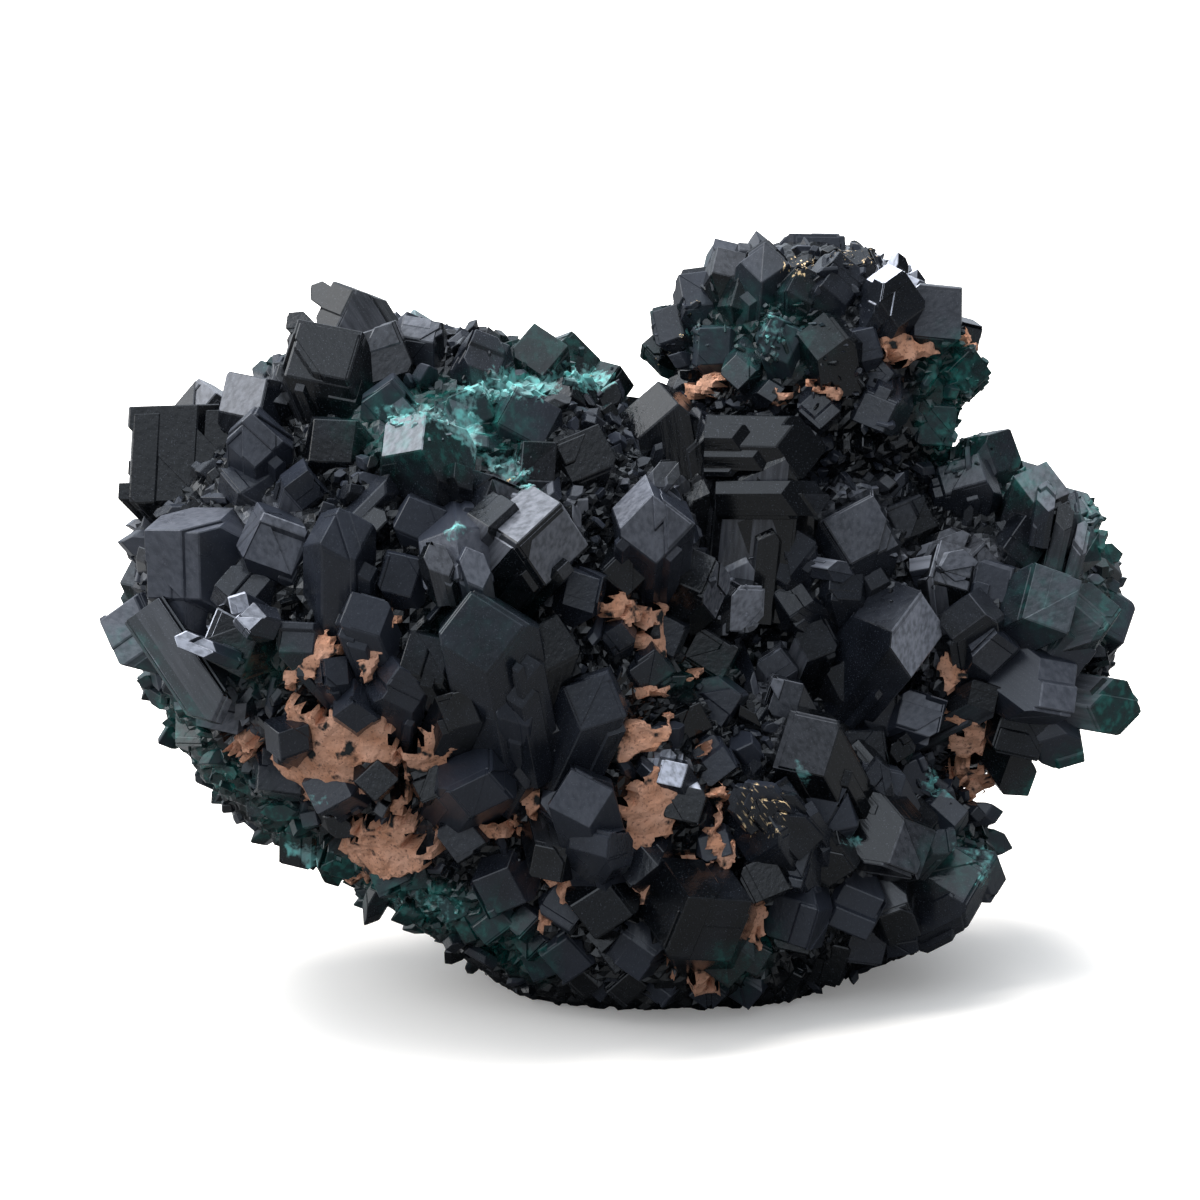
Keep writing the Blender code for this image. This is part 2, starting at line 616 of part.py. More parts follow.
def body_mesh():
    """The uneven rounded body, before any crystal, as a bmesh in metres."""
    bm = bmesh.new()
    for lobe in LOBES:
        place = Matrix.Translation(Vector(lobe.middle) * MM)
        size = Matrix.Diagonal([*(Vector(lobe.half) * MM), 1.0])
        bmesh.ops.create_icosphere(bm, subdivisions=4, radius=1.0, matrix=place @ size)
    rough = add_cutter("body_rough", bm)
    remesh = rough.modifiers.new("skin", "REMESH")
    remesh.mode = "VOXEL"
    remesh.voxel_size = BODY_VOXEL * MM
    smooth = evaluated_bmesh(rough)
    bpy.data.objects.remove(rough, do_unlink=True)
    points = np.array([vert.co[:] for vert in smooth.verts]) / MM
    for _ in range(4):
        height = body_distance(points) - lumps(points)
        points = points - body_normal(points) * height[:, None]
    for vert, point in zip(smooth.verts, points):
        vert.co = Vector(point) * MM
    skin = add_cutter("body_skin", smooth)
    thinned = skin.modifiers.new("facets", "DECIMATE")
    thinned.ratio = BODY_TRIANGLES / (2.0 * len(skin.data.polygons))
    body = evaluated_bmesh(skin)
    bpy.data.objects.remove(skin, do_unlink=True)
    bmesh.ops.triangulate(body, faces=body.faces[:])
    return body


def moved_out(body, distance):
    """A copy of the body with its skin moved outwards by a distance in mm."""
    copy = body.copy()
    copy.normal_update()
    for vert in copy.verts:
        vert.co = vert.co + vert.normal * distance * MM
    return copy


def add_boolean(thing, cutter, operation):
    """Join, cut or keep a shape with another by an exact Boolean."""
    cut = thing.modifiers.new(operation.lower(), "BOOLEAN")
    cut.operation = operation
    cut.solver = "EXACT"
    cut.use_self = True
    cut.object = cutter


def ground_block(lowest):
    """A block with its lower face at a height in mm, which keeps what lies above it."""
    bm = bmesh.new()
    reach = BLOCK_REACH * MM
    tall = BLOCK_TALL * MM
    place = Matrix.Translation((0.0, 0.0, lowest * MM + tall / 2.0))
    size = Matrix.Diagonal((2.0 * reach, 2.0 * reach, tall, 1.0))
    bmesh.ops.create_cube(bm, size=1.0, matrix=place @ size)
    return add_cutter("ground_block", bm)


def shells(bm):
    """Split a bmesh's faces into connected shells, each with its signed volume in mm3."""
    bm.faces.ensure_lookup_table()
    left = set(bm.faces)
    found = []
    while left:
        start = left.pop()
        shell = [start]
        front = [start]
        while front:
            face = front.pop()
            for edge in face.edges:
                if len(edge.link_faces) != 2:
                    continue
                for other in edge.link_faces:
                    if other in left:
                        left.remove(other)
                        shell.append(other)
                        front.append(other)
        volume = 0.0
        for face in shell:
            corners = [loop.vert.co for loop in face.loops]
            for index in range(1, len(corners) - 1):
                volume += corners[0].dot(corners[index].cross(corners[index + 1])) / 6.0
        found.append((volume / MM ** 3, shell))
    return sorted(found, key=lambda pair: -pair[0])


def solid_from(thing, place_in_size=0):
    """Evaluate a shape and keep one connected body of it, by its place in order of size.

    Args:
        thing: object with its Boolean modifiers.
        place_in_size: 0 for the largest body.
    Returns:
        The body as a bmesh, or None where there is no such body of a useful size.
    """
    bm = evaluated_bmesh(thing)
    merge_flat_faces(bm)
    bmesh.ops.remove_doubles(bm, verts=bm.verts[:], dist=NEAR_POINTS)
    bmesh.ops.dissolve_degenerate(bm, edges=bm.edges[:], dist=NEAR_POINTS / 2.0)
    bmesh.ops.triangulate(bm, faces=bm.faces[:])
    found = shells(bm)
    if place_in_size >= len(found) or found[place_in_size][0] < SMALLEST_REMNANT:
        bm.free()
        return None
    kept = set(found[place_in_size][1])
    bmesh.ops.delete(bm, geom=[face for face in bm.faces if face not in kept], context="FACES")
    return bm


def web_prism(web):
    """The outline of a stretch of matrix, drawn out along the lines of sight."""
    bm = bmesh.new()
    near_depth = SIGHT_DISTANCE - WEB_NEAR
    far_depth = SIGHT_DISTANCE + web.depth
    rings = []
    for depth in (near_depth, far_depth):
        ring = []
        for col, row in web.outline:
            ray = sight_ray(col, row)
            point = EYE + ray * depth / np.dot(ray, FORWARD)
            ring.append(bm.verts.new(Vector(point) * MM))
        rings.append(ring)
    count = len(web.outline)
    for index in range(count):
        after = (index + 1) % count
        bm.faces.new((rings[0][index], rings[0][after], rings[1][after], rings[1][index]))
    bm.faces.new(rings[0])
    bm.faces.new(rings[1])
    bmesh.ops.recalc_face_normals(bm, faces=bm.faces[:])
    bmesh.ops.triangulate(bm, faces=bm.faces[:])
    return add_cutter("web_outline", bm)


def material(name, colour, roughness):
    """A plain Principled material."""
    made = bpy.data.materials.new(name)
    made.use_nodes = True
    shader = made.node_tree.nodes["Principled BSDF"]
    shader.inputs["Base Color"].default_value = (*colour, 1.0)
    shader.inputs["Roughness"].default_value = roughness
    return made


def build_mass(body, crystals):
    """The dioptase mass: the body with every crystal fused to it, cut flat at the foot."""
    mass = add_object("mass_draft", body.copy())
    grown = crystals_object("all_crystals", crystals)
    block = ground_block(0.0)
    add_boolean(mass, grown, "UNION")
    add_boolean(mass, block, "INTERSECT")
    solid = solid_from(mass)
    bpy.data.objects.remove(mass, do_unlink=True)
    bpy.data.objects.remove(block, do_unlink=True)
    bpy.data.objects.remove(grown, do_unlink=True)
    node = add_object("dioptase_mass", solid)
    node.data.materials.append(material("dioptase_green", (0.012, 0.040, 0.040), 0.18))
    return node


def build_web(web, body, crystals):
    """One stretch of matrix: a thin slab over the body, parted by the crystals."""
    slab = add_object("web_draft", moved_out(body, WEB_OUTER))
    prism = web_prism(web)
    inner = add_cutter("inner", moved_out(body, WEB_INNER))
    swollen = crystals_object("swollen_crystals", crystals, grow=GAP)
    block = ground_block(GAP)
    add_boolean(slab, prism, "INTERSECT")
    add_boolean(slab, inner, "DIFFERENCE")
    add_boolean(slab, swollen, "DIFFERENCE")
    add_boolean(slab, block, "INTERSECT")
    for place, name in enumerate(web.names):
        solid = solid_from(slab, place)
        if solid is None:
            break
        node = add_object(name, solid)
        node.data.materials.append(material(name + "_tan", (0.52, 0.29, 0.19), 0.85))
    for thing in (slab, prism, inner, swollen, block):
        bpy.data.objects.remove(thing, do_unlink=True)


def main():
    """Build the mass and the matrix."""
    clear_scene()
    rng = random.Random(SEED)
    front = front_crystals(rng)
    crystals = front + spread_crystals(front, rng)
    body = body_mesh()
    build_mass(body, crystals)
    for web in WEBS:
        build_web(web, body, crystals)
    body.free()


main()
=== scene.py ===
"""Dioptase specimen: a lumpy mass of stout dark green crystals with tan matrix between them.

The same body and the same crystals as the part's solids are made again, finer: with bevelled
edges, terraces on their faces, and a crust of small crystals between them. Sizes are in
millimetres and meshes in metres. The specimen stands on z = 0 and its front faces -Y.
"""
import json
import logging
import math
import random
from dataclasses import dataclass
from enum import Enum
from typing import Iterable, NamedTuple, Optional, Sequence

import bmesh
import bpy
import numpy as np
from mathutils import Matrix, Vector, noise

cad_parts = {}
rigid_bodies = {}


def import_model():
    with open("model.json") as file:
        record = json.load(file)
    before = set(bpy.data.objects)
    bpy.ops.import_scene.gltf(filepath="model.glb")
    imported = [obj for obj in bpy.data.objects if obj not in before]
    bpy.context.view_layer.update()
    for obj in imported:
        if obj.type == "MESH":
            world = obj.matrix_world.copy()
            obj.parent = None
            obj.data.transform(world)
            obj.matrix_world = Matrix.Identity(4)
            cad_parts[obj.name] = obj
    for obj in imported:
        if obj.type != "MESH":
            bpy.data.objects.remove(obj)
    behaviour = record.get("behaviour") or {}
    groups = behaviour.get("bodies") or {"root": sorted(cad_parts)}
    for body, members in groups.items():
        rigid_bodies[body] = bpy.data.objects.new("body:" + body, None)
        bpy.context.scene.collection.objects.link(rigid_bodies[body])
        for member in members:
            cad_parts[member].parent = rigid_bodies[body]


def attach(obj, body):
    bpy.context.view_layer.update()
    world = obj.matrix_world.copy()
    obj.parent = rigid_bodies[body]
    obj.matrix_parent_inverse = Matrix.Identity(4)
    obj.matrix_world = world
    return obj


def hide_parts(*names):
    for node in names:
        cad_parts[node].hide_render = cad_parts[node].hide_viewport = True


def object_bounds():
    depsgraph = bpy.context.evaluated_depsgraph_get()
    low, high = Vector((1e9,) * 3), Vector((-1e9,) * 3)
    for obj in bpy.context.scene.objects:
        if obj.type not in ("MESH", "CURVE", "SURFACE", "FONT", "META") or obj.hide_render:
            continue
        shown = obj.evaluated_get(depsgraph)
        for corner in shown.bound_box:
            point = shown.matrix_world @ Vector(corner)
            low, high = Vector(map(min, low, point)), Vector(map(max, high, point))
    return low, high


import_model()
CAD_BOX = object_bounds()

LOG = logging.getLogger("dioptase")
MM = 0.001
SEED = 41
Colour = tuple[float, float, float]


class Slot(Enum):
    """Material slots of the record."""
    DIOPTASE = "dioptase"
    MATRIX = "matrix"


class Field(Enum):
    """Values that the meshes carry for their finish."""
    TONE = "tone"
    GROWN = "grown"
    TEAL = "teal"
    DUST = "dust"
    PALE = "pale"
    FLECK = "fleck"
    BARE = "bare"
    FLAT = "flat"


class Side(Enum):
    """Ways that a marked face can look, as directions in space; painted highlights lie only on faces
    that look this way.
    """
    LEFT = (-0.72, -0.42, 0.55)
    FRONT = (-0.10, -0.95, 0.30)
    TOP = (-0.15, -0.35, 0.92)
    RIGHT = (0.78, -0.60, 0.15)


class Lobe(NamedTuple):
    """One rounded lobe of the body: its middle and its half sizes."""
    middle: tuple
    half: tuple


class Grown(NamedTuple):
    """One crystal on the front, as it is seen there.

    col and row give the middle of its crown in the 1200 x 1200 picture. lean is the way that its
    tip points in the picture, clockwise from up, and toward is how far it turns to the viewer,
    both in degrees. roll turns it about its own axis. out is the height of its crown above the
    body and thin narrows it from front to back, both as a share of its width. steps is the
    number of smaller crystals that grew on its side, parallel to it. length is how far it
    reaches from its crown in mm, or 0 where it is rooted in the body.
    """
    col: float
    row: float
    wide: float
    lean: float
    toward: float
    roll: float
    out: float = 0.30
    thin: float = 1.0
    steps: int = 0
    length: float = 0.0


class Mark(NamedTuple):
    """A marked place on the front, as it is seen in the picture.

    col and row give its middle, across and down its half sizes and turn its clockwise turn in
    degrees. amount is how strong it is. side says which faces it lies on, where that matters.
    """
    col: float
    row: float
    across: float
    down: float
    turn: float = 0.0
    amount: float = 1.0
    side: Side = Side.LEFT


class Crystal(NamedTuple):
    """One crystal in space: the middle of its crown, its axes, its size and its face offsets."""
    crown: np.ndarray
    axes: np.ndarray
    wide: float
    length: float
    thin: float
    crown_shift: tuple
    side_shift: tuple


LOBES = [
    Lobe((-12.5, -2.0, 25.5), (18.6, 17.0, 15.6)),
    Lobe((-14.0, 3.0, 28.0), (16.5, 14.0, 14.0)),
    Lobe((2.2, 0.5, 10.2), (16.0, 15.5, 12.9)),
    Lobe((-5.0, -2.6, 15.6), (15.0, 14.0, 13.2)),
    Lobe((-14.4, 0.0, 16.8), (11.0, 12.0, 9.2)),
    Lobe((13.0, 6.0, 38.9), (9.2, 8.6, 8.4)),
    Lobe((10.0, 6.0, 25.0), (13.0, 11.0, 13.0)),
    Lobe((23.9, 8.0, 22.6), (8.8, 11.0, 10.0)),
    Lobe((14.8, 1.0, 7.8), (8.4, 10.0, 7.0)),
]

# Upper left of the main mass
UPPER_LEFT = [
    Grown(col=162, row=440, wide=10.2, lean=318, toward=38, roll=4, out=0.3),
    Grown(col=206, row=402, wide=4.6, lean=342, toward=10, roll=90, out=0.5, thin=0.7),
    Grown(col=262, row=398, wide=5.8, lean=75, toward=48, roll=60, out=0.35, thin=0.8),
    Grown(col=257, row=432, wide=4.9, lean=0, toward=42, roll=0, out=0.55),
    Grown(col=312, row=352, wide=6.8, lean=338, toward=22, roll=20, out=0.5, steps=1),
    Grown(col=346, row=306, wide=5.0, lean=328, toward=8, roll=90, out=0.8, thin=0.65),
    Grown(col=384, row=342, wide=5.4, lean=25, toward=38, roll=0, out=0.5),
    Grown(col=326, row=436, wide=5.0, lean=320, toward=40, roll=0),
    Grown(col=270, row=528, wide=5.0, lean=345, toward=50, roll=10, out=0.45),
    Grown(col=340, row=528, wide=5.1, lean=2, toward=30, roll=33, out=0.6),
    Grown(col=178, row=545, wide=7.6, lean=298, toward=30, roll=90, out=0.35, thin=0.75, steps=1),
    Grown(col=128, row=626, wide=5.6, lean=285, toward=18, roll=0, out=0.3),
    Grown(col=236, row=480, wide=4.0, lean=300, toward=30, roll=40),
    Grown(col=428, row=342, wide=5.0, lean=40, toward=20, roll=90, out=0.4, thin=0.6),
    Grown(col=392, row=398, wide=4.2, lean=10, toward=45, roll=5),
]

# Top middle of the main mass and the blue-green crystals under it
TOP_MIDDLE = [
    Grown(col=480, row=352, wide=4.4, lean=350, toward=15, roll=30, out=0.6),
    Grown(col=540, row=343, wide=4.8, lean=352, toward=28, roll=0, out=0.55, steps=1),
    Grown(col=570, row=350, wide=4.2, lean=15, toward=20, roll=30, out=0.4),
    Grown(col=430, row=446, wide=6.6, lean=5, toward=36, roll=60, out=0.42, thin=0.8),
    Grown(col=472, row=402, wide=4.4, lean=20, toward=45, roll=0, out=0.35),
    Grown(col=520, row=410, wide=5.0, lean=0, toward=30, roll=30, out=0.3),
    Grown(col=590, row=446, wide=4.6, lean=20, toward=38, roll=0, out=0.45),
    Grown(col=528, row=455, wide=4.0, lean=340, toward=50, roll=30),
    Grown(col=570, row=390, wide=4.2, lean=10, toward=25, roll=60),
    Grown(col=488, row=494, wide=4.4, lean=20, toward=48, roll=60),
    Grown(col=418, row=512, wide=4.2, lean=340, toward=45, roll=0),
]

# Middle of the main mass
MAIN_MIDDLE = [
    Grown(col=546, row=524, wide=6.2, lean=42, toward=38, roll=55, out=0.6, steps=1),
    Grown(col=652, row=508, wide=6.0, lean=318, toward=40, roll=12, out=0.72),
    Grown(col=660, row=412, wide=6.6, lean=350, toward=18, roll=90, out=0.4, thin=0.8, steps=1),
    Grown(col=458, row=566, wide=5.4, lean=180, toward=28, roll=60, out=0.5),
    Grown(col=482, row=622, wide=7.2, lean=350, toward=42, roll=0, out=0.4),
    Grown(col=552, row=634, wide=4.4, lean=15, toward=40, roll=0, out=0.5),
    Grown(col=360, row=608, wide=4.2, lean=340, toward=40, roll=10, out=0.5),
    Grown(col=598, row=692, wide=5.2, lean=25, toward=40, roll=0, out=0.55),
    Grown(col=590, row=586, wide=4.0, lean=60, toward=42, roll=0),
    Grown(col=512, row=690, wide=5.0, lean=350, toward=35, roll=30, out=0.45),
    Grown(col=462, row=700, wide=4.0, lean=20, toward=40, roll=0, out=0.5),
    Grown(col=420, row=646, wide=4.2, lean=330, toward=42, roll=0, out=0.4),
    Grown(col=700, row=575, wide=5.6, lean=50, toward=36, roll=90, out=0.4, thin=0.8),
    Grown(col=742, row=600, wide=5.0, lean=62, toward=20, roll=30, out=0.4, thin=0.7),
    Grown(col=650, row=660, wide=4.4, lean=30, toward=55, roll=30),
    Grown(col=540, row=728, wide=4.2, lean=200, toward=48, roll=0),
    Grown(col=572, row=746, wide=4.2, lean=150, toward=45, roll=0),
    Grown(col=395, row=565, wide=4.0, lean=330, toward=45, roll=0),
    Grown(col=236, row=590, wide=4.6, lean=285, toward=42, roll=30, out=0.4),
    Grown(col=226, row=645, wide=5.6, lean=250, toward=36, roll=0, out=0.35),
]

# Lower front, where the crystals stand apart on the matrix
LOWER_FRONT = [
    Grown(col=184, row=676, wide=5.4, lean=235, toward=20, roll=90, out=0.3, thin=0.6),
    Grown(col=214, row=714, wide=4.8, lean=235, toward=36, roll=0, out=0.12),
    Grown(col=284, row=736, wide=4.4, lean=0, toward=44, roll=0, out=0.55),
    Grown(col=272, row=780, wide=4.6, lean=230, toward=50, roll=0, out=0.3),
    Grown(col=354, row=704, wide=4.4, lean=15, toward=42, roll=0, out=0.55),
    Grown(col=398, row=680, wide=4.2, lean=10, toward=44, roll=30, out=0.5),
    Grown(col=376, row=786, wide=4.0, lean=180, toward=42, roll=0, out=0.6),
    Grown(col=330, row=800, wide=4.8, lean=215, toward=36, roll=30, out=0.4),
    Grown(col=482, row=776, wide=5.6, lean=15, toward=24, roll=30, out=0.5),
    Grown(col=428, row=790, wide=4.2, lean=200, toward=46, roll=0, out=0.45),
    Grown(col=578, row=786, wide=4.6, lean=345, toward=42, roll=0, out=0.6),
    Grown(col=604, row=842, wide=5.6, lean=12, toward=22, roll=90, out=0.55, thin=0.65),
    Grown(col=558, row=866, wide=4.4, lean=165, toward=38, roll=30, out=0.4),
    Grown(col=690, row=812, wide=4.2, lean=150, toward=44, roll=0, out=0.5),
    Grown(col=690, row=905, wide=7.4, lean=335, toward=40, roll=10, out=0.5),
    Grown(col=636, row=872, wide=4.6, lean=205, toward=44, roll=30, out=0.35),
    Grown(col=600, row=918, wide=5.4, lean=190, toward=36, roll=0, out=0.35),
    Grown(col=640, row=958, wide=5.0, lean=185, toward=24, roll=30, out=0.3),
    Grown(col=728, row=700, wide=4.2, lean=80, toward=48, roll=0),
    Grown(col=720, row=762, wide=4.2, lean=100, toward=46, roll=0),
    Grown(col=722, row=652, wide=4.4, lean=75, toward=40, roll=0),
    Grown(col=462, row=846, wide=4.4, lean=190, toward=42, roll=0, out=0.25),
    Grown(col=498, row=900, wide=4.6, lean=200, toward=30, roll=0, out=0.25),
    Grown(col=392, row=880, wide=4.8, lean=215, toward=24, roll=30, out=0.25),
    Grown(col=332, row=858, wide=4.0, lean=225, toward=24, roll=90, out=0.45, thin=0.6),
    Grown(col=726, row=968, wide=4.8, lean=175, toward=26, roll=0, out=0.3),
]

# The valley between the main mass and the right lobe
VALLEY = [
    Grown(col=762, row=466, wide=8.2, lean=5, toward=20, roll=90, out=0.35, thin=0.7, steps=1),
    Grown(col=864, row=520, wide=6.2, lean=15, toward=42, roll=0, out=0.35),
    Grown(col=780, row=540, wide=5.0, lean=350, toward=45, roll=0, out=0.3),
    Grown(col=904, row=614, wide=6.6, lean=38, toward=34, roll=60, out=0.42),
    Grown(col=802, row=735, wide=6.0, lean=330, toward=40, roll=0, out=0.45),
    Grown(col=852, row=668, wide=4.0, lean=20, toward=46, roll=0),
    Grown(col=872, row=742, wide=4.4, lean=40, toward=42, roll=0, out=0.35),
    Grown(col=884, row=700, wide=4.4, lean=20, toward=44, roll=30, out=0.35),
    Grown(col=930, row=708, wide=4.6, lean=60, toward=32, roll=0, out=0.45),
    Grown(col=942, row=560, wide=4.6, lean=350, toward=36, roll=30, out=0.35),
    Grown(col=916, row=508, wide=4.2, lean=20, toward=44, roll=0, out=0.3),
    Grown(col=872, row=780, wide=4.4, lean=330, toward=40, roll=0, out=0.35),
    Grown(col=912, row=770, wide=4.2, lean=40, toward=36, roll=30, out=0.35),
]

# The knob
KNOB = [
    Grown(col=722, row=266, wide=4.2, lean=342, toward=15, roll=30, out=0.5),
    Grown(col=764, row=262, wide=4.0, lean=5, toward=18, roll=0, out=0.5),
    Grown(col=690, row=290, wide=4.2, lean=322, toward=22, roll=30, out=0.5),
    Grown(col=668, row=324, wide=4.2, lean=300, toward=20, roll=0, out=0.45),
    Grown(col=972, row=372, wide=4.2, lean=95, toward=20, roll=0, out=0.5),
    Grown(col=836, row=272, wide=4.2, lean=10, toward=30, roll=30, out=0.4),
    Grown(col=900, row=286, wide=4.8, lean=28, toward=40, roll=30, out=0.7, thin=0.8),
    Grown(col=942, row=306, wide=5.2, lean=48, toward=40, roll=0, out=0.55),
    Grown(col=828, row=332, wide=4.6, lean=350, toward=34, roll=90, thin=0.8),
    Grown(col=778, row=330, wide=4.0, lean=340, toward=44, roll=0),
    Grown(col=708, row=340, wide=4.0, lean=315, toward=45, roll=0),
    Grown(col=940, row=432, wide=4.4, lean=140, toward=35, roll=0, out=0.25),
    Grown(col=880, row=420, wide=4.2, lean=180, toward=45, roll=30, out=0.2),
]

# The right lobe
RIGHT_LOBE = [
    Grown(col=972, row=474, wide=5.0, lean=12, toward=34, roll=90, out=0.5, thin=0.7),
    Grown(col=996, row=446, wide=4.4, lean=38, toward=8, roll=30, out=0.6),
    Grown(col=1038, row=484, wide=4.8, lean=15, toward=12, roll=0, out=0.6),
    Grown(col=1066, row=510, wide=4.6, lean=30, toward=10, roll=90, out=0.6, thin=0.7),
    Grown(col=1078, row=538, wide=4.8, lean=52, toward=14, roll=30, out=0.35, thin=0.85),
    Grown(col=1022, row=532, wide=4.6, lean=10, toward=40, roll=30),
    Grown(col=1058, row=596, wide=6.4, lean=62, toward=36, roll=0, out=0.35),
    Grown(col=1096, row=616, wide=5.0, lean=72, toward=12, roll=90, out=0.5, thin=0.8),
    Grown(col=968, row=610, wide=4.8, lean=350, toward=30, roll=90, out=0.45, thin=0.8, steps=1),
    Grown(col=992, row=640, wide=4.2, lean=15, toward=34, roll=30, out=0.4),
    Grown(col=1050, row=698, wide=6.0, lean=128, toward=26, roll=90, out=0.4, thin=0.7),
    Grown(col=1026, row=740, wide=5.2, lean=150, toward=34, roll=0, out=0.35),
    Grown(col=1112, row=706, wide=5.8, lean=100, toward=4, roll=0, out=0.5, thin=0.7),
    Grown(col=1064, row=742, wide=5.0, lean=132, toward=6, roll=30, out=0.5, thin=0.7),
    Grown(col=1018, row=778, wide=4.8, lean=146, toward=8, roll=0, out=0.5, thin=0.8),
    Grown(col=1072, row=650, wide=4.8, lean=95, toward=30, roll=30),
    Grown(col=976, row=556, wide=4.0, lean=20, toward=44, roll=30),
]

# The lower right corner and the dark crystals beside the foot
LOWER_RIGHT = [
    Grown(col=962, row=878, wide=6.0, lean=60, toward=30, roll=90, out=0.35, thin=0.85),
    Grown(col=900, row=856, wide=6.0, lean=140, toward=26, roll=90, out=0.4, thin=0.7),
    Grown(col=764, row=812, wide=6.0, lean=318, toward=34, roll=60, out=0.3),
    Grown(col=836, row=800, wide=4.6, lean=30, toward=44, roll=0),
    Grown(col=838, row=858, wide=4.6, lean=120, toward=42, roll=30),
    Grown(col=790, row=870, wide=4.8, lean=150, toward=44, roll=0),
    Grown(col=860, row=920, wide=5.0, lean=160, toward=34, roll=0, out=0.25),
    Grown(col=800, row=928, wide=5.0, lean=170, toward=38, roll=30, out=0.25),
    Grown(col=760, row=890, wide=4.2, lean=200, toward=46, roll=0),
    Grown(col=950, row=816, wide=4.2, lean=70, toward=30, roll=90, out=0.3, thin=0.7),
    Grown(col=912, row=812, wide=4.0, lean=20, toward=36, roll=30, out=0.3),
    Grown(col=905, row=918, wide=4.6, lean=130, toward=22, roll=30, out=0.25),
]

FRONT_CRYSTALS = (UPPER_LEFT + TOP_MIDDLE + MAIN_MIDDLE + LOWER_FRONT + VALLEY + KNOB
                  + RIGHT_LOBE + LOWER_RIGHT)

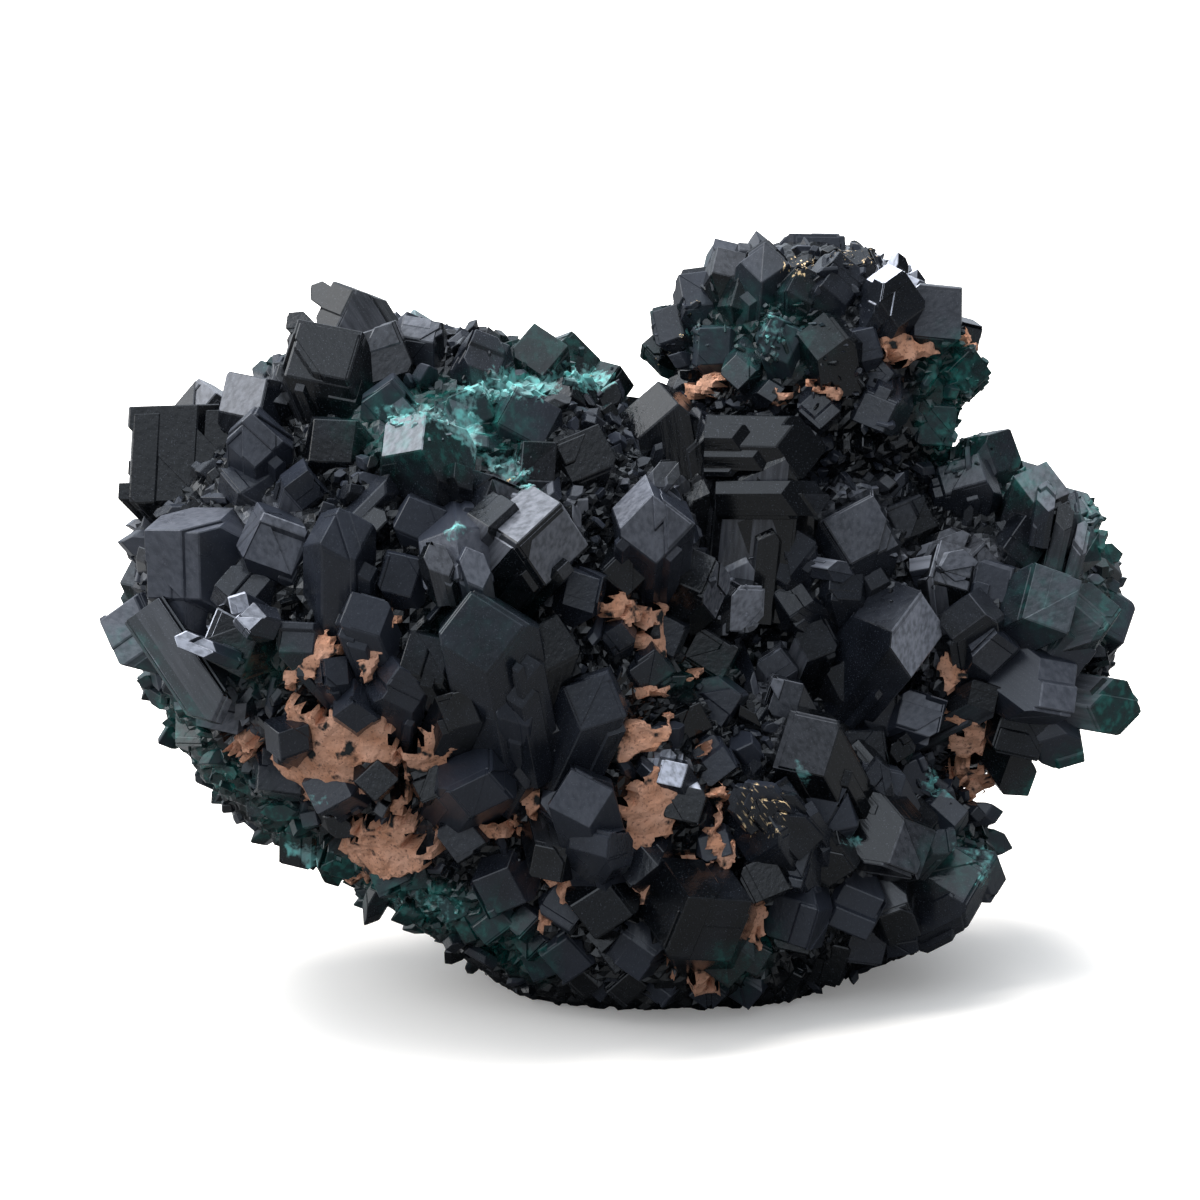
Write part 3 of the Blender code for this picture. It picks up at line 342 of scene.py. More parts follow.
# Smaller crystals of the front
SMALL_CRYSTALS = [
    Grown(col=305, row=482, wide=3.6, lean=20, toward=50, roll=20),
    Grown(col=612, row=380, wide=3.8, lean=35, toward=30, roll=60, out=0.4),
    Grown(col=292, row=632, wide=3.8, lean=320, toward=35, roll=0, out=0.5),
    Grown(col=622, row=560, wide=3.8, lean=20, toward=50, roll=30),
    Grown(col=672, row=632, wide=3.8, lean=70, toward=48, roll=0),
    Grown(col=620, row=630, wide=3.2, lean=10, toward=60, roll=0, out=0.3),
    Grown(col=322, row=588, wide=3.4, lean=310, toward=45, roll=30),
    Grown(col=330, row=668, wide=3.6, lean=330, toward=48, roll=30, out=0.5),
    Grown(col=528, row=764, wide=3.4, lean=30, toward=50, roll=30),
    Grown(col=500, row=728, wide=3.6, lean=40, toward=50, roll=0),
    Grown(col=558, row=812, wide=3.4, lean=190, toward=50, roll=0),
    Grown(col=668, row=768, wide=3.4, lean=330, toward=42, roll=0, out=0.6),
    Grown(col=690, row=712, wide=3.8, lean=40, toward=50, roll=30),
    Grown(col=296, row=852, wide=3.8, lean=232, toward=14, roll=0, out=0.4),
    Grown(col=722, row=848, wide=3.4, lean=120, toward=50, roll=0),
    Grown(col=820, row=630, wide=3.6, lean=20, toward=44, roll=0, out=0.35),
    Grown(col=784, row=600, wide=3.4, lean=300, toward=40, roll=30, out=0.35),
    Grown(col=778, row=658, wide=3.4, lean=10, toward=46, roll=0, out=0.35),
    Grown(col=782, row=690, wide=3.6, lean=330, toward=42, roll=0, out=0.4),
    Grown(col=836, row=580, wide=3.8, lean=340, toward=46, roll=30),
    Grown(col=722, row=256, wide=3.4, lean=342, toward=15, roll=30, out=0.5),
    Grown(col=766, row=254, wide=3.2, lean=5, toward=18, roll=0, out=0.5),
    Grown(col=694, row=284, wide=3.4, lean=322, toward=22, roll=30, out=0.5),
    Grown(col=664, row=318, wide=3.2, lean=305, toward=20, roll=0, out=0.5),
    Grown(col=654, row=350, wide=3.0, lean=290, toward=30, roll=30, out=0.4),
    Grown(col=742, row=290, wide=3.8, lean=350, toward=40, roll=30),
    Grown(col=800, row=280, wide=3.6, lean=0, toward=32, roll=30, out=0.4),
    Grown(col=862, row=262, wide=3.0, lean=15, toward=14, roll=90, out=0.5, thin=0.8),
    Grown(col=968, row=332, wide=3.6, lean=72, toward=22, roll=30, out=0.5),
    Grown(col=868, row=338, wide=3.6, lean=30, toward=46, roll=0),
    Grown(col=742, row=380, wide=3.4, lean=200, toward=46, roll=30, out=0.2),
    Grown(col=972, row=380, wide=3.8, lean=95, toward=25, roll=0, out=0.4),
    Grown(col=820, row=420, wide=3.6, lean=180, toward=50, roll=0, out=0.2),
    Grown(col=886, row=376, wide=3.2, lean=90, toward=60, roll=0, out=0.2),
    Grown(col=1128, row=700, wide=3.6, lean=98, toward=2, roll=30, out=0.2, thin=0.6),
    Grown(col=990, row=694, wide=3.4, lean=60, toward=45, roll=0, out=0.35),
    Grown(col=1000, row=575, wide=3.6, lean=60, toward=45, roll=0),
    Grown(col=988, row=876, wide=3.8, lean=97, toward=-25, roll=0, out=0.6),
    Grown(col=452, row=908, wide=3.6, lean=200, toward=34, roll=0, out=0.2),
    Grown(col=492, row=926, wide=4.2, lean=196, toward=26, roll=20, out=0.2),
    Grown(col=532, row=946, wide=3.6, lean=205, toward=30, roll=40, out=0.2),
    Grown(col=566, row=962, wide=4.4, lean=186, toward=24, roll=0, out=0.2),
    Grown(col=604, row=982, wide=3.8, lean=190, toward=20, roll=30, out=0.15),
    Grown(col=566, row=915, wide=4.2, lean=170, toward=45, roll=0, out=0.2),
    Grown(col=606, row=938, wide=3.8, lean=200, toward=40, roll=30, out=0.2),
    Grown(col=750, row=962, wide=4.0, lean=165, toward=36, roll=0, out=0.2),
    Grown(col=786, row=984, wide=4.4, lean=176, toward=24, roll=30, out=0.15),
    Grown(col=800, row=938, wide=4.2, lean=150, toward=42, roll=0, out=0.2),
    Grown(col=830, row=966, wide=4.4, lean=160, toward=26, roll=20, out=0.2),
    Grown(col=868, row=950, wide=4.0, lean=146, toward=26, roll=0, out=0.2),
    Grown(col=905, row=936, wide=4.2, lean=140, toward=22, roll=30, out=0.2),
    Grown(col=858, row=915, wide=3.8, lean=130, toward=45, roll=0, out=0.2),
    Grown(col=410, row=880, wide=3.6, lean=215, toward=36, roll=0, out=0.2),
    Grown(col=368, row=858, wide=3.8, lean=222, toward=34, roll=30, out=0.2),
    Grown(col=330, row=836, wide=3.4, lean=228, toward=30, roll=0, out=0.2),
    Grown(col=262, row=806, wide=3.8, lean=232, toward=22, roll=20, out=0.2),
    Grown(col=226, row=774, wide=3.4, lean=236, toward=20, roll=0, out=0.2),
    Grown(col=190, row=734, wide=3.6, lean=240, toward=20, roll=30, out=0.2),
    Grown(col=540, row=966, wide=3.2, lean=200, toward=20, roll=0, out=0.3),
    Grown(col=586, row=984, wide=3.0, lean=190, toward=14, roll=20, out=0.3),
    Grown(col=626, row=990, wide=3.4, lean=180, toward=24, roll=0, out=0.3),
    Grown(col=664, row=992, wide=3.2, lean=186, toward=24, roll=30, out=0.3),
    Grown(col=708, row=996, wide=3.4, lean=176, toward=24, roll=0, out=0.3),
    Grown(col=748, row=994, wide=3.2, lean=180, toward=20, roll=20, out=0.3),
    Grown(col=470, row=930, wide=3.2, lean=205, toward=24, roll=10, out=0.3),
    Grown(col=618, row=960, wide=3.6, lean=190, toward=42, roll=0, out=0.25),
    Grown(col=520, row=925, wide=3.4, lean=190, toward=46, roll=20, out=0.25),
]

# Thin blades and ledges that lie on the larger crystals
LEDGES = [
    Grown(col=796, row=448, wide=5.6, lean=91, toward=5, roll=0, out=0.52, thin=0.95, length=5.8),
    Grown(col=804, row=498, wide=4.6, lean=90, toward=5, roll=0, out=0.70, thin=0.62, length=5.6),
    Grown(col=842, row=572, wide=3.0, lean=100, toward=20, roll=0, out=0.6, thin=0.50, length=2.4),
    Grown(col=960, row=566, wide=3.4, lean=80, toward=20, roll=0, out=0.5, thin=0.70, length=3.0),
    Grown(col=958, row=540, wide=3.2, lean=70, toward=30, roll=0, out=0.5, thin=0.70, length=3.0),
    Grown(col=1046, row=494, wide=2.8, lean=8, toward=14, roll=0, out=1.5, thin=0.5, length=3.4),
    Grown(col=1064, row=514, wide=2.8, lean=12, toward=12, roll=0, out=1.3, thin=0.5, length=3.8),
    Grown(col=1082, row=536, wide=3.0, lean=14, toward=12, roll=0, out=1.2, thin=0.4, length=4.6),
    Grown(col=236, row=602, wide=2.0, lean=300, toward=40, roll=0, out=2.3, length=2.0),
    Grown(col=245, row=620, wide=2.4, lean=285, toward=42, roll=20, out=2.0, length=2.0),
    Grown(col=190, row=642, wide=3.4, lean=292, toward=34, roll=0, out=1.5, thin=0.4, length=3.0),
    Grown(col=214, row=712, wide=3.0, lean=145, toward=12, roll=90, out=1.1, thin=0.40, length=8.0),
    Grown(col=328, row=298, wide=4.0, lean=304, toward=6, roll=0, out=0.95, thin=0.42, length=6.0),
    Grown(col=300, row=326, wide=3.6, lean=316, toward=14, roll=0, out=0.9, thin=0.5, length=5.0),
    Grown(col=742, row=794, wide=2.6, lean=322, toward=30, roll=90, out=1.2, thin=0.40, length=2.6),
    Grown(col=755, row=790, wide=2.8, lean=320, toward=30, roll=90, out=1.2, thin=0.36, length=2.8),
    Grown(col=764, row=806, wide=2.8, lean=318, toward=30, roll=90, out=1.2, thin=0.40, length=2.8),
    Grown(col=776, row=800, wide=2.6, lean=321, toward=30, roll=90, out=1.2, thin=0.36, length=2.6),
    Grown(col=784, row=820, wide=2.8, lean=318, toward=30, roll=90, out=1.2, thin=0.38, length=2.8),
    Grown(col=668, row=470, wide=3.0, lean=40, toward=30, roll=0, out=1.6, thin=0.6, length=3.0),
    Grown(col=470, row=560, wide=3.2, lean=352, toward=36, roll=20, out=1.3, thin=0.6, length=3.0),
    Grown(col=434, row=556, wide=3.0, lean=348, toward=36, roll=20, out=1.3, thin=0.6, length=3.0),
    Grown(col=878, row=772, wide=2.8, lean=350, toward=40, roll=0, out=1.0, thin=0.7, length=3.0),
    Grown(col=902, row=742, wide=2.6, lean=20, toward=40, roll=15, out=1.0, thin=0.7, length=3.0),
    Grown(col=946, row=838, wide=2.8, lean=40, toward=30, roll=0, out=1.1, thin=0.7, length=3.0),
]

# Tan matrix between the crystals
TAN_FRONT = [
    Mark(col=318, row=660, across=36, down=15, turn=-45),
    Mark(col=371, row=652, across=15, down=26, turn=12),
    Mark(col=394, row=618, across=8, down=18, turn=20),
    Mark(col=305, row=705, across=17, down=10),
    Mark(col=254, row=735, across=13, down=10),
    Mark(col=342, row=742, across=60, down=46, turn=-10),
    Mark(col=430, row=745, across=27, down=32),
    Mark(col=404, row=790, across=11, down=12),
    Mark(col=392, row=838, across=50, down=33, amount=0.8),
    Mark(col=485, row=825, across=38, down=11),
    Mark(col=534, row=695, across=15, down=22),
    Mark(col=510, row=737, across=11, down=20),
    Mark(col=532, row=794, across=14, down=15),
    Mark(col=608, row=608, across=22, down=13, turn=20),
    Mark(col=644, row=630, across=14, down=28),
    Mark(col=648, row=690, across=14, down=9),
    Mark(col=682, row=678, across=8, down=8),
    Mark(col=630, row=740, across=34, down=19, turn=-25),
    Mark(col=646, row=808, across=28, down=42, turn=12),
    Mark(col=560, row=846, across=32, down=26, turn=-20),
    Mark(col=571, row=882, across=8, down=18),
    Mark(col=548, row=910, across=9, down=11),
    Mark(col=648, row=882, across=26, down=22, turn=-20),
    Mark(col=698, row=870, across=7, down=16),
    Mark(col=717, row=850, across=13, down=18),
    Mark(col=747, row=918, across=14, down=24),
    Mark(col=663, row=950, across=10, down=16),
    Mark(col=701, row=970, across=13, down=11),
    Mark(col=716, row=796, across=8, down=9),
    Mark(col=695, row=748, across=7, down=13),
    Mark(col=632, row=738, across=40, down=7, turn=-32),
    Mark(col=570, row=842, across=24, down=9, turn=-35),
    Mark(col=563, row=878, across=8, down=22, turn=-25),
    Mark(col=656, row=882, across=34, down=8, turn=-38),
    Mark(col=664, row=950, across=7, down=20, turn=-25),
    Mark(col=540, row=700, across=9, down=26, turn=28),
    Mark(col=708, row=832, across=7, down=24, turn=12),
]
TAN_RIGHT = [
    Mark(col=954, row=664, across=13, down=17),
    Mark(col=966, row=715, across=19, down=26),
    Mark(col=976, row=772, across=32, down=30, turn=-20),
]
TAN_KNOB = [
    Mark(col=895, row=352, across=30, down=15),
    Mark(col=962, row=340, across=14, down=17),
    Mark(col=718, row=384, across=17, down=13),
    Mark(col=782, row=395, across=9, down=7),
    Mark(col=820, row=390, across=21, down=11),
]

# Turquoise dust on the crystals
DUST_MARKS = [
    Mark(col=510, row=387, across=54, down=14),
    Mark(col=590, row=378, across=27, down=15, turn=10),
    Mark(col=425, row=418, across=54, down=16, turn=8, amount=0.75),
    Mark(col=468, row=428, across=15, down=32, turn=-20, amount=0.9),
    Mark(col=512, row=470, across=36, down=15, turn=30, amount=0.8),
    Mark(col=418, row=483, across=19, down=9, amount=0.7),
    Mark(col=458, row=533, across=21, down=9, turn=10, amount=0.8),
    Mark(col=608, row=718, across=7, down=8),
    Mark(col=805, row=775, across=7, down=6),
    Mark(col=847, row=843, across=7, down=6),
    Mark(col=870, row=903, across=7, down=5),
    Mark(col=937, row=788, across=8, down=24, turn=-20, amount=0.9),
    Mark(col=984, row=866, across=12, down=25, turn=10, amount=0.7),
    Mark(col=957, row=856, across=8, down=24, amount=0.5),
    Mark(col=303, row=855, across=22, down=10, turn=40),
    Mark(col=772, row=335, across=15, down=32, amount=0.6),
    Mark(col=690, row=325, across=22, down=16, amount=0.45),
    Mark(col=432, row=905, across=52, down=16, turn=12, amount=0.55),
    Mark(col=318, row=800, across=14, down=12, turn=40, amount=0.6),
    Mark(col=700, row=690, across=40, down=8, turn=-15, amount=0.35),
]

# Teal: the crystals' own blue-green, and painted light shining through their thin rims
TEAL_SHINE_THROUGH_MARKS = [
    Mark(col=955, row=402, across=36, down=62),
    Mark(col=1102, row=530, across=18, down=38, turn=-20, amount=0.9),
    Mark(col=1104, row=610, across=22, down=30, amount=0.6),
    Mark(col=1122, row=712, across=42, down=30, turn=-40),
    Mark(col=1060, row=776, across=62, down=18, turn=-32, amount=0.9),
    Mark(col=1032, row=478, across=26, down=22, amount=0.7),
    Mark(col=176, row=722, across=24, down=30, turn=-40, amount=0.9),
    Mark(col=222, row=772, across=34, down=18, turn=40, amount=0.9),
    Mark(col=282, row=822, across=36, down=18, turn=40, amount=0.9),
    Mark(col=350, row=874, across=42, down=20, turn=32, amount=0.9),
    Mark(col=432, row=906, across=58, down=24, turn=14),
    Mark(col=510, row=946, across=48, down=20, turn=34, amount=0.9),
    Mark(col=440, row=425, across=90, down=42, amount=0.6),
    Mark(col=258, row=668, across=38, down=30, amount=0.35),
    Mark(col=482, row=625, across=52, down=44, amount=0.1),
    Mark(col=1056, row=600, across=38, down=44, amount=0.4),
    Mark(col=552, row=345, across=48, down=30, amount=0.3),
    Mark(col=962, row=860, across=40, down=28, amount=0.45),
    Mark(col=728, row=970, across=20, down=16, amount=0.8),
    Mark(col=762, row=946, across=14, down=28, amount=0.5),
    Mark(col=760, row=335, across=64, down=44, amount=0.35),
    Mark(col=130, row=660, across=26, down=34, turn=-30, amount=0.6),
    Mark(col=700, row=672, across=50, down=14, turn=-15, amount=0.4),
]

# Gold and cream flecks
# Sugary small crystals on the larger ones
SUGAR_MARKS = [
    Mark(col=955, row=402, across=34, down=60),
    Mark(col=222, row=772, across=34, down=16, turn=40, amount=0.8),
    Mark(col=282, row=822, across=34, down=16, turn=40, amount=0.8),
    Mark(col=350, row=874, across=40, down=16, turn=32, amount=0.6),
    Mark(col=432, row=906, across=54, down=18, turn=14, amount=0.6),
    Mark(col=510, row=387, across=50, down=12),
    Mark(col=590, row=378, across=25, down=13, turn=10),
    Mark(col=425, row=416, across=44, down=11, turn=8, amount=0.7),
    Mark(col=512, row=470, across=34, down=13, turn=30),
    Mark(col=772, row=335, across=15, down=30, amount=0.7),
    Mark(col=690, row=325, across=30, down=40, amount=0.5),
    Mark(col=800, row=325, across=70, down=50, amount=0.25),
    Mark(col=850, row=405, across=50, down=34, amount=0.35),
    Mark(col=1102, row=530, across=14, down=34, turn=-20, amount=0.6),
    Mark(col=737, row=585, across=18, down=44, amount=0.3),
    Mark(col=895, row=580, across=30, down=12, amount=0.4),
    Mark(col=937, row=788, across=8, down=24, turn=-20),
    Mark(col=830, row=262, across=46, down=10, amount=0.4),
]

# Crystals that are nearly black
BLACK_MARKS = [
    Mark(col=175, row=455, across=60, down=60),
    Mark(col=330, row=330, across=70, down=50),
    Mark(col=590, row=360, across=90, down=36, amount=0.8),
    Mark(col=760, row=465, across=66, down=60),
    Mark(col=700, row=590, across=50, down=50, amount=0.7),
    Mark(col=560, row=450, across=60, down=50, amount=0.6),
]

FLECK_MARKS = [
    Mark(col=800, row=264, across=22, down=9),
    Mark(col=855, row=254, across=30, down=15, amount=0.7),
    Mark(col=725, row=272, across=10, down=8, amount=0.8),
    Mark(col=692, row=300, across=14, down=20, amount=0.6),
    Mark(col=680, row=334, across=8, down=8, amount=0.7),
    Mark(col=762, row=812, across=34, down=30, turn=45, amount=0.9),
    Mark(col=652, row=372, across=34, down=8, turn=-45, amount=0.7),
    Mark(col=592, row=380, across=9, down=8, amount=0.7),
    Mark(col=512, row=482, across=9, down=7, amount=0.8),
    Mark(col=905, row=558, across=62, down=8, amount=0.4),
    Mark(col=770, row=490, across=30, down=30, amount=0.3),
]

# Paler bluish-white faces: painted highlights and reflections on faces turned to the light, and partly
# sugary, finely grooved faces
PALE_HIGHLIGHT_MARKS = [
    Mark(col=235, row=601, across=12, down=10, amount=0.9),
    Mark(col=243, row=622, across=17, down=11, amount=0.9),
    Mark(col=190, row=640, across=28, down=12, turn=-20, amount=0.9),
    Mark(col=205, row=688, across=30, down=34, turn=45, amount=0.12),
    Mark(col=322, row=588, across=9, down=7, amount=0.8),
    Mark(col=900, row=272, across=36, down=24, turn=-30),
    Mark(col=938, row=298, across=24, down=26, amount=0.1),
    Mark(col=928, row=628, across=22, down=44, amount=0.4, side=Side.RIGHT),
    Mark(col=652, row=500, across=34, down=32, amount=0.16),
    Mark(col=528, row=500, across=26, down=30, amount=0.18),
    Mark(col=676, row=522, across=30, down=36, amount=0.08, side=Side.FRONT),
    Mark(col=668, row=770, across=19, down=18, amount=1.0, side=Side.FRONT),
    Mark(col=737, row=585, across=24, down=52, amount=0.25, side=Side.RIGHT),
    Mark(col=892, row=585, across=34, down=20, amount=0.04),
    Mark(col=955, row=542, across=13, down=9, amount=0.3),
    Mark(col=956, row=569, across=14, down=11, amount=0.3),
    Mark(col=832, row=562, across=20, down=8, amount=0.3, side=Side.TOP),
    Mark(col=881, row=557, across=32, down=8, amount=0.3, side=Side.TOP),
    Mark(col=936, row=555, across=26, down=8, amount=0.3, side=Side.TOP),
    Mark(col=865, row=489, across=42, down=8, amount=0.3, side=Side.TOP),
    Mark(col=782, row=683, across=17, down=12, amount=0.3),
    Mark(col=785, row=655, across=18, down=12, amount=0.25),
    Mark(col=270, row=528, across=34, down=34, amount=0.06),
    Mark(col=280, row=396, across=46, down=14, turn=14, amount=0.1),
    Mark(col=385, row=338, across=26, down=24, amount=0.1),
    Mark(col=430, row=322, across=26, down=14, turn=40, amount=0.15),
    Mark(col=1055, row=690, across=34, down=22, turn=30, amount=0.1, side=Side.TOP),
    Mark(col=222, row=388, across=44, down=12, amount=0.22, side=Side.TOP),
    Mark(col=222, row=392, across=40, down=12, amount=0.15, side=Side.FRONT),
    Mark(col=252, row=430, across=24, down=18, amount=0.05, side=Side.FRONT),
    Mark(col=362, row=332, across=30, down=14, turn=40, amount=0.12, side=Side.FRONT),
    Mark(col=425, row=430, across=46, down=13, amount=0.22, side=Side.FRONT),
    Mark(col=568, row=530, across=12, down=44, turn=15, amount=0.2, side=Side.RIGHT),
    Mark(col=657, row=507, across=28, down=28, amount=0.16, side=Side.FRONT),
    Mark(col=270, row=524, across=30, down=26, amount=0.2, side=Side.FRONT),
    Mark(col=165, row=522, across=34, down=8, amount=0.12, side=Side.TOP),
    Mark(col=168, row=570, across=34, down=32, amount=0.07, side=Side.FRONT),
    Mark(col=456, row=562, across=34, down=28, turn=-30, amount=0.12, side=Side.FRONT),
    Mark(col=736, row=585, across=18, down=46, turn=-8, amount=0.25, side=Side.FRONT),
    Mark(col=862, row=515, across=42, down=32, amount=0.08, side=Side.FRONT),
    Mark(col=926, row=612, across=20, down=32, amount=0.05, side=Side.FRONT),
    Mark(col=130, row=640, across=18, down=44, turn=-35, amount=0.12, side=Side.FRONT),
    Mark(col=228, row=716, across=36, down=12, turn=25, amount=0.15, side=Side.FRONT),
    Mark(col=965, row=560, across=34, down=24, amount=0.15, side=Side.FRONT),
    Mark(col=985, row=628, across=16, down=26, amount=0.12, side=Side.FRONT),
    Mark(col=1056, row=592, across=38, down=46, amount=0.08, side=Side.FRONT),
    Mark(col=1060, row=700, across=36, down=20, turn=20, amount=0.12, side=Side.FRONT),
    Mark(col=935, row=725, across=22, down=40, amount=0.14, side=Side.FRONT),
    Mark(col=888, row=860, across=34, down=42, amount=0.08, side=Side.FRONT),
    Mark(col=660, row=375, across=20, down=7, turn=-45, amount=0.25, side=Side.FRONT),
    Mark(col=772, row=685, across=20, down=16, amount=0.2, side=Side.FRONT),
    Mark(col=965, row=300, across=24, down=30, amount=0.06, side=Side.FRONT),
    Mark(col=968, row=458, across=18, down=38, amount=0.07, side=Side.FRONT),
    Mark(col=800, row=735, across=34, down=28, amount=0.06, side=Side.FRONT),
    Mark(col=730, row=258, across=34, down=18, amount=0.06, side=Side.FRONT),
    Mark(col=610, row=745, across=30, down=16, amount=0.08, side=Side.FRONT),
    Mark(col=400, row=835, across=50, down=30, amount=0.07, side=Side.FRONT),
    Mark(col=560, row=800, across=40, down=30, amount=0.06, side=Side.FRONT),
    Mark(col=522, row=492, across=24, down=30, amount=0.2, side=Side.FRONT),
    Mark(col=1082, row=548, across=10, down=36, amount=0.15, side=Side.FRONT),
    Mark(col=1046, row=498, across=8, down=20, amount=0.15, side=Side.FRONT),
]


@dataclass(frozen=True)
class Sight:
    """The line of sight of the photograph, which the front is placed along."""
    elevation: float = math.radians(12.0)
    distance: float = 298.5
    focal: float = 4500.0
    before: float = 60.0
    behind: float = 50.0
    middle: float = 600.0
    target: tuple = (-1.46, 0.0, 25.35)

    @property
    def forward(self) -> np.ndarray:
        """Direction that the viewer looks in."""
        return np.array([0.0, math.cos(self.elevation), -math.sin(self.elevation)])

    @property
    def right(self) -> np.ndarray:
        """Direction to the right in the picture."""
        return np.array([1.0, 0.0, 0.0])

    @property
    def up(self) -> np.ndarray:
        """Direction up in the picture."""
        return np.array([0.0, math.sin(self.elevation), math.cos(self.elevation)])

    @property
    def eye(self) -> np.ndarray:
        """Place of the viewer in mm."""
        return np.array(self.target) - self.distance * self.forward

    def ray(self, col: float, row: float) -> np.ndarray:
        """Direction of the line of sight through one place in the picture."""
        across = (col - self.middle) * self.right
        down = (row - self.middle) * self.up
        ray = self.focal * self.forward + across - down
        return ray / np.linalg.norm(ray)

    def travel(self, step: float) -> np.ndarray:
        """Distances along a line of sight, from before the specimen to behind it."""
        return np.arange(self.distance - self.before, self.distance + self.behind, step)

    def picture_place(self, points: np.ndarray) -> tuple[np.ndarray, np.ndarray]:
        """Columns and rows at which points in mm are seen."""
        offset = points - self.eye
        depth = offset @ self.forward
        cols = self.middle + self.focal * (offset @ self.right) / depth
        rows = self.middle - self.focal * (offset @ self.up) / depth
        return cols, rows


SIGHT = Sight()


@dataclass(frozen=True)
class Body:
    """The rounded body that every crystal is rooted in."""
    lobes: tuple = tuple(LOBES)
    blend: float = 2.2
    lump_height: float = 0.55
    lump_wave: float = 5.2
    slope_step: float = 0.05

    def distance(self, points: np.ndarray) -> np.ndarray:
        """Signed distance in mm from points to the smooth body, negative inside it.

        Args:
            points: positions in mm, the last axis holding x, y and z.
        Returns:
            The distances, one for each position.
        """
        distance = None
        for lobe in self.lobes:
            offset = points - np.array(lobe.middle)
            half = np.array(lobe.half)
            reach = np.linalg.norm(offset / half, axis=-1)
            slope = np.linalg.norm(offset / (half * half), axis=-1) + 1e-9
            piece = reach * (reach - 1.0) / slope
            if distance is None:
                distance = piece
                continue
            share = np.clip(0.5 + 0.5 * (distance - piece) / self.blend, 0.0, 1.0)
            blend = self.blend * share * (1.0 - share)
            distance = distance * (1.0 - share) + piece * share - blend
        return distance

    def normal(self, points: np.ndarray) -> np.ndarray:
        """Outward direction of the body's surface near points."""
        slopes = []
        for axis in range(3):
            shift = np.zeros(3)
            shift[axis] = self.slope_step
            slopes.append(self.distance(points + shift) - self.distance(points - shift))
        normal = np.stack(slopes, -1)
        return normal / np.linalg.norm(normal, axis=-1, keepdims=True)

    def lumps(self, points: np.ndarray) -> np.ndarray:
        """Low waves that make the body's surface uneven, in mm."""
        x, y, z = (points / self.lump_wave).T
        wave = np.sin(x * 1.7 + 0.6) * np.sin(y * 1.9 + 1.3) + np.sin(z * 2.1 + x * 0.8) * 0.7
        return self.lump_height * wave

    def on_ray(self, col: float, row: float, height: float) -> np.ndarray:
        """Where a line of sight comes within a height of the body, or nearest to it.

        Args:
            col: column in the picture.
            row: row in the picture.
            height: height above the body in mm.
        Returns:
            The position in mm.
        """
        points = SIGHT.eye + SIGHT.ray(col, row) * SIGHT.travel(0.1)[:, None]
        distance = self.distance(points)
        inside = np.nonzero(distance <= height)[0]
        return points[inside[0]] if len(inside) else points[np.argmin(distance)]

    def settle(self, points: np.ndarray) -> np.ndarray:
        """Move points in mm onto the uneven surface."""
        for _ in range(4):
            height = self.distance(points) - self.lumps(points)
            points = points - self.normal(points) * height[:, None]
        return points

    def skin(self, voxel: float) -> bmesh.types.BMesh:
        """The uneven surface as a mesh in mm.

        Args:
            voxel: length of its squares in mm.
        Returns:
            A closed bmesh of quads.
        """
        bm = bmesh.new()
        for lobe in self.lobes:
            place = Matrix.Translation(Vector(lobe.middle) * MM)
            size = Matrix.Diagonal([*(Vector(lobe.half) * MM), 1.0])
            bmesh.ops.create_icosphere(bm, subdivisions=5, radius=1.0, matrix=place @ size)
        draft = mesh_object("skin_draft", bm)
        remesh = draft.modifiers.new("skin", "REMESH")
        remesh.mode = "VOXEL"
        remesh.voxel_size = voxel * MM
        skin = bmesh.new()
        graph = bpy.context.evaluated_depsgraph_get()
        skin.from_mesh(draft.evaluated_get(graph).to_mesh())
        bpy.data.objects.remove(draft, do_unlink=True)
        points = self.settle(np.array([vert.co[:] for vert in skin.verts]) / MM)
        for vert, point in zip(skin.verts, points):
            vert.co = Vector(point)
        return skin


BODY = Body()


def mesh_object(name: str, bm: bmesh.types.BMesh) -> bpy.types.Object:
    """Turn a bmesh into a named object of the scene, and free it."""
    mesh = bpy.data.meshes.new(name)
    bm.to_mesh(mesh)
    bm.free()
    thing = bpy.data.objects.new(name, mesh)
    bpy.context.scene.collection.objects.link(thing)
    return thing


def triangle_count(thing: bpy.types.Object) -> int:
    """Number of triangles in an object's mesh."""
    thing.data.calc_loop_triangles()
    return len(thing.data.loop_triangles)


def write_field(mesh: bpy.types.Mesh, field: Field, values: np.ndarray) -> None:
    """Store one value, or one vector, for each vertex of a mesh."""
    is_vector = values.ndim == 2
    kind = "FLOAT_VECTOR" if is_vector else "FLOAT"
    old = mesh.attributes.get(field.value)
    if old:
        mesh.attributes.remove(old)
    layer = mesh.attributes.new(field.value, kind, "POINT")
    layer.data.foreach_set("vector" if is_vector else "value", values.astype(np.float32).ravel())


def mesh_points(mesh: bpy.types.Mesh) -> np.ndarray:
    """Positions of a mesh's vertices in mm."""
    flat = np.empty(len(mesh.vertices) * 3, np.float32)
    mesh.vertices.foreach_get("co", flat)
    return flat.reshape(-1, 3).astype(float) / MM


def shift_into_cad_box(points: np.ndarray) -> np.ndarray:
    """How far a crystal moves in mm to stay inside the sides and the top of the solids' box."""
    lowest, highest = (np.array(corner) / MM for corner in CAD_BOX)
    shift = np.minimum(highest - 0.02 - points.max(axis=0), 0.0)
    shift[:2] += np.maximum(lowest[:2] + 0.02 - points.min(axis=0)[:2], 0.0)
    return shift


def inside_cad_box(points: np.ndarray) -> np.ndarray:
    """Positions in mm, kept inside the box of the solids."""
    lowest, highest = (np.array(corner) / MM for corner in CAD_BOX)
    return np.clip(points, lowest + 0.02, highest - 0.02)


